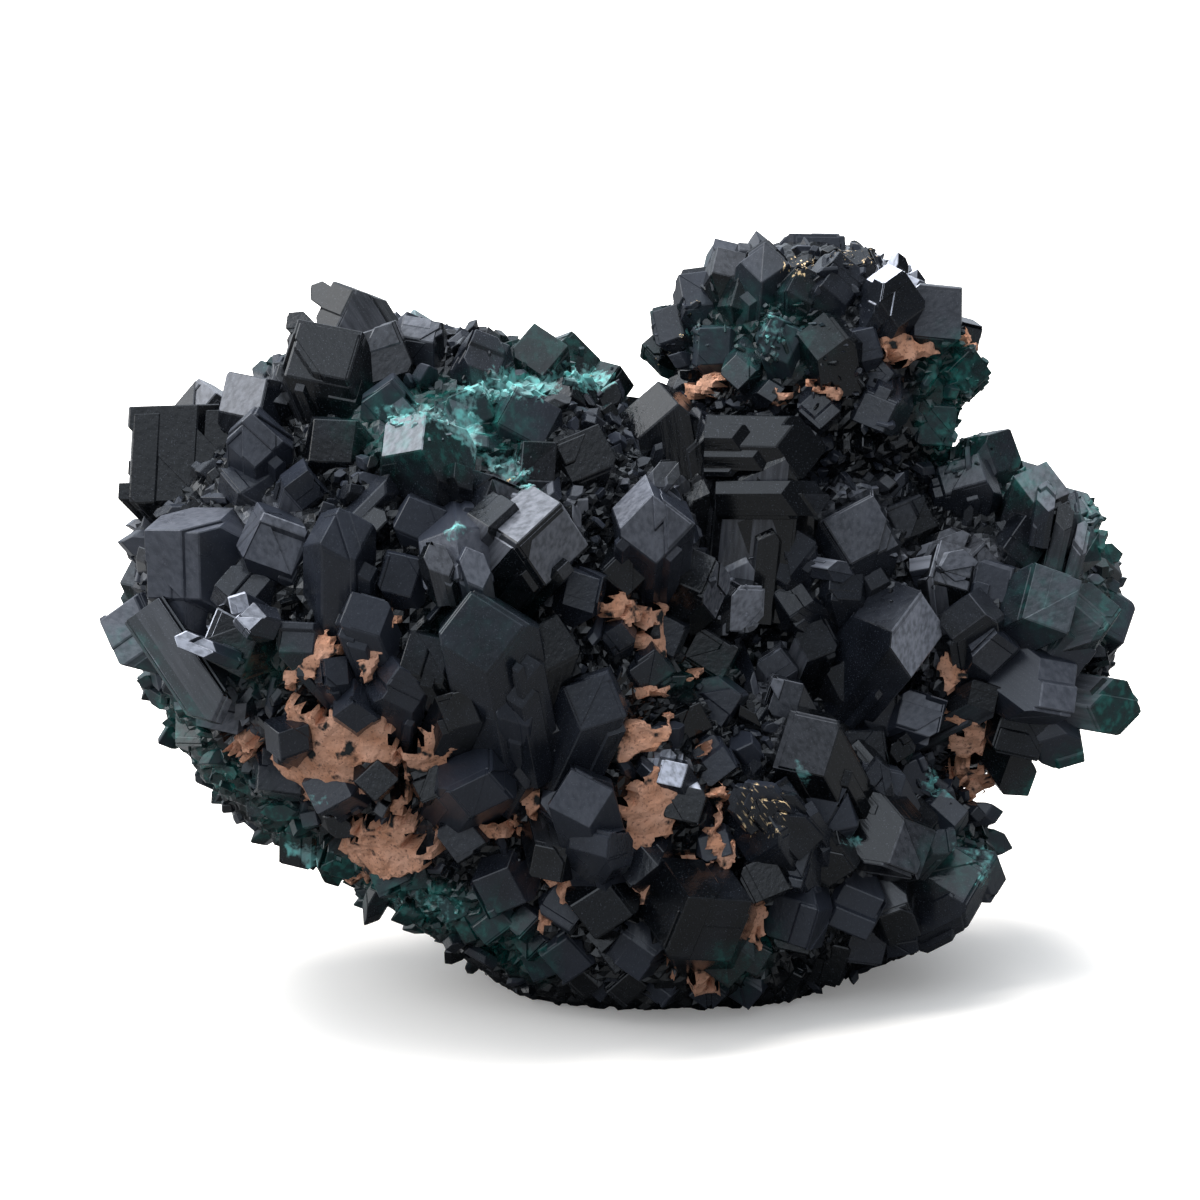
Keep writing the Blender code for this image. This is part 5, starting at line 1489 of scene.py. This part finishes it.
class LargeCrystals:
    """The crystals that the solids have too, with steps in their faces, and the small ones."""
    slimming = 0.2

    def __init__(self) -> None:
        """Grow the crystals in the solids' order, so that they match."""
        rng = random.Random(SEED)
        front = GROWTH.front(FRONT_CRYSTALS, rng)
        self.shared = self.slimmed(front + GROWTH.spread(front, rng))
        self.small = self.slimmed(GROWTH.front(SMALL_CRYSTALS, random.Random(SEED + 1)))
        self.ledges = GROWTH.front(LEDGES, random.Random(SEED + 3))
        self.rng = random.Random(SEED + 2)

    def slimmed(self, crystals: list[Crystal]) -> list[Crystal]:
        """Make the crystals that stand in the matrix narrower, so that it shows between them."""
        crowns = np.array([crystal.crown for crystal in crystals])
        cols, rows = SIGHT.picture_place(crowns)
        facing = BODY.normal(crowns) @ -SIGHT.forward > 0.0
        around = [(0.0, 0.0), (26.0, 0.0), (-26.0, 0.0), (0.0, 26.0), (0.0, -26.0)]
        shares = [mark_share(cols + across, rows + down, TAN_FRONT + TAN_RIGHT + TAN_KNOB)
                  for across, down in around]
        share = np.clip(np.sum(shares, axis=0) / 2.0, 0.0, 1.0) * facing
        return [crystal._replace(wide=crystal.wide * (1.0 - self.slimming * amount))
                for crystal, amount in zip(crystals, share)]

    @property
    def all(self) -> list[Crystal]:
        """Every crystal, large and small."""
        return self.shared + self.small + self.ledges

    def stepped(self, crystal: Crystal) -> list[Crystal]:
        """Split a crystal into parallel blocks of different heights, with steps between them."""
        rng = self.rng
        crown = tuple(shift - rng.uniform(0.16, 0.40) for shift in crystal.crown_shift)
        sides = tuple(shift - rng.uniform(0.01, 0.06) for shift in crystal.side_shift)
        blocks = [crystal._replace(crown_shift=crown, side_shift=sides)]
        for _ in range(3 if crystal.wide < 5.0 else 4):
            crown = tuple(shift - rng.uniform(0.0, 0.26) for shift in crystal.crown_shift)
            sides = [shift - rng.uniform(0.0, 0.05) for shift in crystal.side_shift]
            first = rng.randrange(6)
            for side in {first, (first + rng.randrange(3)) % 6}:
                sides[side] -= rng.uniform(0.25, 1.2)
            blocks.append(crystal._replace(crown_shift=crown, side_shift=tuple(sides)))
        return blocks

    def parallel(self, crystal: Crystal) -> list[Crystal]:
        """Smaller crystals grown on a crystal's side, parallel to it."""
        rng = self.rng
        grown = []
        for _ in range(round(crystal.wide * rng.uniform(0.5, 1.2))):
            turn = rng.uniform(0.0, 2.0 * math.pi)
            across = crystal.axes[0] * math.cos(turn)
            across = across + crystal.axes[1] * math.sin(turn) * crystal.thin
            size = rng.uniform(0.12, 0.46)
            reach = rng.uniform(0.46, 0.54) - size * 0.42
            sunk = rng.uniform(0.14, 0.85)
            shift = across * reach - crystal.axes[2] * sunk
            grown.append(crystal._replace(crown=crystal.crown + shift * crystal.wide,
                                          wide=crystal.wide * size,
                                          length=max(crystal.length - sunk * crystal.wide, 0.5)))
        return grown

    def build(self, finish: bpy.types.Material) -> list[bpy.types.Object]:
        """Build the front's crystals, those on their sides and the back's, and dress them.

        Args:
            finish: material of the crystals.
        Returns:
            The three pieces, the front's crystals first.
        """
        front, sides, back = Batch(), Batch(), Batch()
        for crystal in self.all:
            facing = BODY.normal(crystal.crown) @ -SIGHT.forward
            is_front = facing > -0.1
            col, row = SIGHT.picture_place(crystal.crown[None, :])
            black = mark_share(col, row, BLACK_MARKS)[0] if is_front else 0.0
            tone = self.rng.random() * (1.0 - black)
            dusted = mark_share(col, row, DUST_MARKS)[0] > 0.1
            cell = CUT.fine_cell if dusted else CUT.cell
            for block in self.stepped(crystal):
                (front if is_front else back).add(block, tone, cell if is_front else None)
            for block in self.parallel(crystal):
                (sides if is_front else back).add(block, tone)
        pieces = []
        batches = {"dioptase_crystals_front": front, "dioptase_crystals_beside": sides,
                   "dioptase_crystals_back": back}
        for name, batch in batches.items():
            piece = batch.to_object(name)
            piece.data.materials.append(finish)
            pieces.append(piece)
        return pieces


@dataclass
class Crust:
    """The body's own surface between the crystals, and which of it is bare."""
    voxel: float = 0.42
    margin: float = 0.45
    raised: float = 0.5
    relief: float = 0.6
    relief_wave: float = 1.5

    def build(self, crystals: Sequence[Crystal], finish: bpy.types.Material) -> bpy.types.Object:
        """Build the surface and store which of it no crystal covers.

        Args:
            crystals: the large crystals.
            finish: material of the surface.
        Returns:
            The piece.
        """
        piece = mesh_object("dioptase_crust", BODY.skin(self.voxel))
        mesh = piece.data
        flat = np.empty(len(mesh.vertices) * 3, np.float32)
        mesh.vertices.foreach_get("co", flat)
        points = flat.reshape(-1, 3).astype(float)
        normal = BODY.normal(points)
        ridges = 1.0 - np.abs(rough_noise(points, self.relief_wave, 3.0)) * 2.0
        cols, rows = SIGHT.picture_place(points)
        tan = mark_share(cols, rows, TAN_FRONT + TAN_RIGHT + TAN_KNOB)
        tan = tan * (normal @ -SIGHT.forward > 0.0)
        below_top = np.clip((CAD_BOX[1][2] / MM - points[:, 2] - 0.2) / 2.0, 0.0, 1.0)
        height = (self.raised + self.relief * (ridges - 0.5)) * (1.0 - tan) * below_top
        points = points + normal * height[:, None]
        lowest, highest = (np.array(corner) / MM for corner in CAD_BOX)
        room = np.minimum((points - lowest)[:, :2].min(axis=1), (highest - points).min(axis=1))
        low = np.clip((points[:, 2] - 3.0) / 6.0, 0.0, 1.0)
        rim = mark_share(cols, rows, TEAL_SHINE_THROUGH_MARKS) * (normal @ -SIGHT.forward > -0.2)
        bare = (1.0 - tan) * (0.2 + 0.8 * low) * (1.0 - 0.7 * rim)
        bare = bare * np.clip((room - 0.8) / 1.2, 0.0, 1.0)
        for crystal in crystals:
            near = np.linalg.norm(points - crystal.crown, axis=-1) < crystal.wide + crystal.length
            covered = np.nonzero(near)[0]
            covered = covered[GROWTH.contains(crystal, points[covered], self.margin)]
            bare[covered] = 0.0
        bare[points[:, 2] < 0.6] = 0.0
        write_field(mesh, Field.BARE, bare)
        write_field(mesh, Field.GROWN, points)
        # Tone 0 gives the crust between the crystals the darkest colour of the finish: painted shade in
        # the gaps.
        write_field(mesh, Field.TONE, np.zeros(len(points)))
        points = inside_cad_box(points)
        mesh.vertices.foreach_set("co", (points * MM).astype(np.float32).ravel())
        mesh.update()
        mesh.materials.append(finish)
        return piece


@dataclass
class Druse:
    """Small crystals that crowd the bare surface, scattered by Geometry Nodes."""
    name: str
    spacing: float
    density: float
    smallest: float
    largest: float
    tilt: float
    seed: int
    kinds: int = 6

    def variants(self) -> bpy.types.Collection:
        """A collection of crystals one millimetre wide, for the scatter to pick from."""
        rng = random.Random(self.seed)
        holder = bpy.data.collections.new(self.name + "_kinds")
        bpy.context.scene.collection.children.link(holder)
        for kind in range(self.kinds):
            crown_shift = tuple(rng.uniform(-0.2, 0.2) for _ in range(3))
            side_shift = tuple(rng.uniform(-0.22, 0.1) for _ in range(6))
            crystal = Crystal(np.array([0.0, 0.0, rng.uniform(0.05, 0.42)]), np.eye(3), 1.0, 1.2,
                              rng.choice((1.0, 0.8, 0.65, 0.5)), crown_shift, side_shift)
            local, faces = CUT.solid(crystal)
            mesh = bpy.data.meshes.new(f"{self.name}_kind_{kind}")
            mesh.from_pydata(((crystal.crown + local) * MM).tolist(), [], faces)
            write_field(mesh, Field.GROWN, local)
            holder.objects.link(bpy.data.objects.new(mesh.name, mesh))
        return holder

    def tree(self) -> tuple[bpy.types.NodeTree, dict[str, str]]:
        """Build the scatter's node tree.

        Returns:
            The tree, and the identifier of each named input.
        """
        tree = bpy.data.node_groups.new(self.name + "_scatter", "GeometryNodeTree")
        kinds = {"Geometry": "NodeSocketGeometry", "Crystals": "NodeSocketCollection",
                 "Spacing": "NodeSocketFloat", "Density": "NodeSocketFloat",
                 "Smallest": "NodeSocketFloat", "Largest": "NodeSocketFloat",
                 "Tilt": "NodeSocketFloat", "Seed": "NodeSocketInt",
                 "Finish": "NodeSocketMaterial"}
        names = {}
        for label, kind in kinds.items():
            socket = tree.interface.new_socket(label, in_out="INPUT", socket_type=kind)
            names[label] = socket.identifier
        tree.interface.new_socket("Geometry", in_out="OUTPUT", socket_type="NodeSocketGeometry")
        bench = NodeBench(tree)
        given = bench.add("NodeGroupInput").outputs
        bare = bench.add("GeometryNodeInputNamedAttribute", data_type="FLOAT")
        bare.inputs["Name"].default_value = Field.BARE.value
        points = bench.add("GeometryNodeDistributePointsOnFaces", distribute_method="POISSON")
        bench.link(given["Geometry"], points.inputs["Mesh"])
        bench.link(given["Spacing"], points.inputs["Distance Min"])
        bench.link(given["Density"], points.inputs["Density Max"])
        bench.link(bare.outputs[0], points.inputs["Density Factor"])
        bench.link(given["Seed"], points.inputs["Seed"])

        lean = bench.add("FunctionNodeRandomValue", data_type="FLOAT_VECTOR")
        low = bench.add("ShaderNodeCombineXYZ")
        high = bench.add("ShaderNodeCombineXYZ")
        minus = bench.math("MULTIPLY", given["Tilt"], -1.0)
        for axis in range(2):
            bench.link(minus, low.inputs[axis])
            bench.link(given["Tilt"], high.inputs[axis])
        low.inputs[2].default_value = -math.pi
        high.inputs[2].default_value = math.pi
        bench.link(low.outputs[0], lean.inputs[0])
        bench.link(high.outputs[0], lean.inputs[1])
        turned = bench.add("FunctionNodeRotateRotation", rotation_space="LOCAL")
        bench.link(points.outputs["Rotation"], turned.inputs[0])
        bench.link(lean.outputs[0], turned.inputs[1])

        chance = bench.add("FunctionNodeRandomValue", data_type="FLOAT")
        chance.inputs["Seed"].default_value = 7
        skewed = bench.math("POWER", chance.outputs[1], 2.2)
        reach = bench.math("SUBTRACT", given["Largest"], given["Smallest"])
        size = bench.math("ADD", bench.math("MULTIPLY", skewed, reach), given["Smallest"])
        shape = bench.add("FunctionNodeRandomValue", data_type="FLOAT_VECTOR")
        shape.inputs[0].default_value = (0.65, 0.65, 0.8)
        shape.inputs[1].default_value = (1.15, 1.15, 1.5)
        shape.inputs["Seed"].default_value = 31
        size = bench.vector_math("MULTIPLY", shape.outputs[0], size)

        picked = bench.add("GeometryNodeCollectionInfo")
        picked.inputs["Separate Children"].default_value = True
        picked.inputs["Reset Children"].default_value = True
        bench.link(given["Crystals"], picked.inputs["Collection"])
        placed = bench.add("GeometryNodeInstanceOnPoints")
        placed.inputs["Pick Instance"].default_value = True
        bench.link(points.outputs["Points"], placed.inputs["Points"])
        bench.link(picked.outputs[0], placed.inputs["Instance"])
        bench.link(turned.outputs[0], placed.inputs["Rotation"])
        bench.link(size, placed.inputs["Scale"])
        toned = bench.add("GeometryNodeStoreNamedAttribute", data_type="FLOAT", domain="INSTANCE")
        toned.inputs["Name"].default_value = Field.TONE.value
        tone = bench.add("FunctionNodeRandomValue", data_type="FLOAT")
        tone.inputs["Seed"].default_value = 19
        bench.link(placed.outputs[0], toned.inputs["Geometry"])
        bench.link(tone.outputs[1], toned.inputs["Value"])
        real = bench.add("GeometryNodeRealizeInstances")
        bench.link(toned.outputs[0], real.inputs[0])
        dressed = bench.add("GeometryNodeSetMaterial")
        bench.link(real.outputs[0], dressed.inputs["Geometry"])
        bench.link(given["Finish"], dressed.inputs["Material"])
        bench.link(dressed.outputs[0], bench.add("NodeGroupOutput").inputs[0])
        return tree, names

    def build(self, surface: bpy.types.Object, finish: bpy.types.Material) -> bpy.types.Object:
        """Scatter the crystals over a surface.

        Args:
            surface: the object to scatter over, with its bare share stored.
            finish: material of the crystals.
        Returns:
            The piece, a plain mesh.
        """
        holder = self.variants()
        tree, names = self.tree()
        host = bpy.data.objects.new(self.name + "_host", surface.data.copy())
        bpy.context.scene.collection.objects.link(host)
        scatter = host.modifiers.new("scatter", "NODES")
        scatter.node_group = tree
        values = {"Crystals": holder, "Spacing": self.spacing * MM,
                  "Density": self.density / MM ** 2, "Smallest": self.smallest,
                  "Largest": self.largest, "Tilt": self.tilt, "Seed": self.seed, "Finish": finish}
        for label, value in values.items():
            scatter[names[label]] = value
        graph = bpy.context.evaluated_depsgraph_get()
        mesh = bpy.data.meshes.new_from_object(host.evaluated_get(graph),
                                               preserve_all_data_layers=True, depsgraph=graph)
        mesh.name = self.name
        for thing in [host, *holder.objects]:
            bpy.data.objects.remove(thing, do_unlink=True)
        bpy.data.collections.remove(holder)
        points = inside_cad_box(mesh_points(mesh))
        mesh.vertices.foreach_set("co", (points * MM).astype(np.float32).ravel())
        mesh.update()
        piece = bpy.data.objects.new(self.name, mesh)
        bpy.context.scene.collection.objects.link(piece)
        return piece


@dataclass
class MatrixWeb:
    """One stretch of tan matrix, raised over the body between the crystals."""
    name: str
    marks: list
    stands_for: tuple
    voxel: float = 0.42
    highest: float = 1.5
    ragged: float = 9.0
    holes: float = 1.6
    grain: float = 0.16

    def height(self, points: np.ndarray) -> np.ndarray:
        """Height of the matrix over the body at points in mm; negative outside its marks."""
        cols, rows = SIGHT.picture_place(points)
        cols = cols + self.ragged * rough_noise(points, 1.2, 5.0)
        rows = rows + self.ragged * rough_noise(points, 1.2, 29.0)
        inner = np.full(len(points), -9.0)
        for mark in self.marks:
            reach = mark_reach(cols, rows, mark)
            inner = np.maximum(inner, (1.0 - reach) * min(mark.across, mark.down) / 15.0)
        inner = inner - np.clip(rough_noise(points, 1.5, 41.0) - 0.22, 0.0, 1.0) * self.holes
        height = np.clip(0.8 + 5.0 * inner, -1.0, self.highest)
        away = BODY.normal(points) @ -SIGHT.forward < 0.0
        return np.where(away, -1.0, height)

    def build(self, finish: bpy.types.Material) -> bpy.types.Object:
        """Build the web and dress it.

        Args:
            finish: material of the matrix.
        Returns:
            The piece.
        """
        bm = BODY.skin(self.voxel)
        height = self.height(np.array([vert.co[:] for vert in bm.verts]))
        bm.verts.ensure_lookup_table()
        outside = [bm.verts[index] for index in np.nonzero(height < -0.45)[0]]
        bmesh.ops.delete(bm, geom=outside, context="VERTS")
        bmesh.ops.subdivide_edges(bm, edges=bm.edges[:], cuts=1, use_grid_fill=True)
        points = BODY.settle(np.array([vert.co[:] for vert in bm.verts]))
        normal = BODY.normal(points)
        grain = rough_noise(points, 0.8, 17.0) * self.grain + rough_noise(points, 2.4, 8.0) * 0.2
        points = inside_cad_box(points + normal * (self.height(points) + grain)[:, None])
        for vert, point in zip(bm.verts, points):
            vert.co = Vector(point) * MM
        bmesh.ops.recalc_face_normals(bm, faces=bm.faces[:])
        piece = mesh_object(self.name, bm)
        piece.data.materials.append(finish)
        return piece


@dataclass
class Studio:
    """Pale floor, soft light and the camera of the photograph."""
    floor_reach: float = 6.0
    lens: float = 135.0
    sensor: float = 36.0

    def floor(self) -> None:
        """Lay the floor."""
        bm = bmesh.new()
        bmesh.ops.create_grid(bm, x_segments=1, y_segments=1, size=self.floor_reach)
        floor = mesh_object("floor", bm)
        floor.data.materials.append(FloorFinish().material("floor_white"))

    def world(self) -> None:
        """Light the scene softly: bright from above, dimmer from the viewer, dark at the sides."""
        world = bpy.data.worlds.new("studio")
        bpy.context.scene.world = world
        world.use_nodes = True
        bench = NodeBench(world.node_tree)
        way = bench.add("ShaderNodeTexCoord").outputs["Generated"]
        parts = bench.add("ShaderNodeSeparateXYZ")
        bench.link(way, parts.inputs[0])
        dot = bench.add("ShaderNodeVectorMath", operation="DOT_PRODUCT")
        bench.link(way, dot.inputs[0])
        dot.inputs[1].default_value = (-0.47, -0.36, 0.80)
        window = bench.ramp(dot.outputs["Value"], 0.48, 0.92, 0.0, 0.58)
        ahead = bench.add("ShaderNodeVectorMath", operation="DOT_PRODUCT")
        bench.link(way, ahead.inputs[0])
        ahead.inputs[1].default_value = (0.0, -0.94, 0.34)
        panel = bench.ramp(ahead.outputs["Value"], 0.62, 0.95, 0.0, 0.14)
        sky = bench.ramp(parts.outputs["Z"], 0.10, 0.70, 0.02, 0.24)
        behind = bench.add("ShaderNodeVectorMath", operation="DOT_PRODUCT")
        bench.link(way, behind.inputs[0])
        behind.inputs[1].default_value = (-0.20, 0.83, 0.52)
        backdrop = bench.ramp(behind.outputs["Value"], 0.40, 0.90, 0.0, 0.45)
        bright = bench.math("ADD", bench.math("ADD", window, panel), sky)
        bright = bench.math("ADD", bright, backdrop)
        colour = bench.mix(bright, (0.020, 0.022, 0.027), (0.82, 0.90, 1.0))
        background = world.node_tree.nodes["Background"]
        bench.link(colour, background.inputs["Color"])
        background.inputs["Strength"].default_value = 2.0

    def light(self, name: str, place: tuple, size: float, power: float, mirrored: bool) -> None:
        """Hang one soft square light that shines at the specimen.

        Args:
            name: its name.
            place: its place in metres.
            size: length of its side in metres.
            power: its power in watts.
            mirrored: whether the crystals' faces mirror it.
        """
        data = bpy.data.lights.new(name, "AREA")
        data.shape = "SQUARE"
        data.size = size
        data.energy = power
        lamp = bpy.data.objects.new(name, data)
        lamp.location = place
        lamp.visible_glossy = mirrored
        aim = Vector(SIGHT.target) * MM - Vector(place)
        lamp.rotation_euler = aim.to_track_quat("-Z", "Y").to_euler()
        bpy.context.scene.collection.objects.link(lamp)

    def camera(self) -> None:
        """Place the camera at the photograph's view."""
        data = bpy.data.cameras.new("camera")
        data.lens = self.lens
        data.sensor_width = self.sensor
        camera = bpy.data.objects.new("camera", data)
        camera.location = Vector(SIGHT.eye) * MM
        camera.rotation_euler = Vector(SIGHT.forward).to_track_quat("-Z", "Y").to_euler()
        bpy.context.scene.collection.objects.link(camera)
        bpy.context.scene.camera = camera

    def build(self) -> None:
        """Set up the whole studio."""
        self.floor()
        self.world()
        self.light("key", (-0.06, 0.11, 0.46), 0.40, 4.4, False)
        self.light("left", (-0.42, -0.02, 0.26), 0.40, 1.0, True)
        self.camera()
        bpy.context.scene.view_settings.view_transform = "Standard"


def main() -> None:
    """Build every piece, let it stand for its solids, and set up the studio."""
    logging.basicConfig(level=logging.INFO, format="%(name)s: %(message)s")
    green = DioptaseFinish().material("dioptase_crystal")
    tan = MatrixFinish().material("matrix_tan")
    large = LargeCrystals()
    pieces = large.build(green)
    crust = Crust().build(large.all, green)
    druses = [
        Druse("dioptase_druse_medium", 1.15, 0.6, 1.2, 2.7, 0.6, 5).build(crust, green),
        Druse("dioptase_sugar", 0.42, 3.6, 0.30, 0.80, 1.2, 13).build(pieces[0], green),
        Druse("dioptase_druse_fine", 0.63, 1.3, 0.6, 1.4, 0.8, 9).build(crust, green),
    ]
    painter = Painter()
    dioptase = [crust, *pieces, *druses]
    for piece in dioptase:
        painter.paint(piece)
        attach(piece, "root")
        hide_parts("dioptase_mass")
        LOG.info("%s: %d triangles", piece.name, triangle_count(piece))
    webs = [
        MatrixWeb("matrix_front", TAN_FRONT,
                  ("matrix_front_middle", "matrix_front_lower", "matrix_front_left")),
        MatrixWeb("matrix_right_grain", TAN_RIGHT, ("matrix_right",)),
        MatrixWeb("matrix_knob_grain", TAN_KNOB, ("matrix_knob",)),
    ]
    for web in webs:
        piece = web.build(tan)
        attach(piece, "root")
        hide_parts(*web.stands_for)
        LOG.info("%s: %d triangles", piece.name, triangle_count(piece))
    Studio().build()
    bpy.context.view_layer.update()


if __name__ == "__main__":
    main()
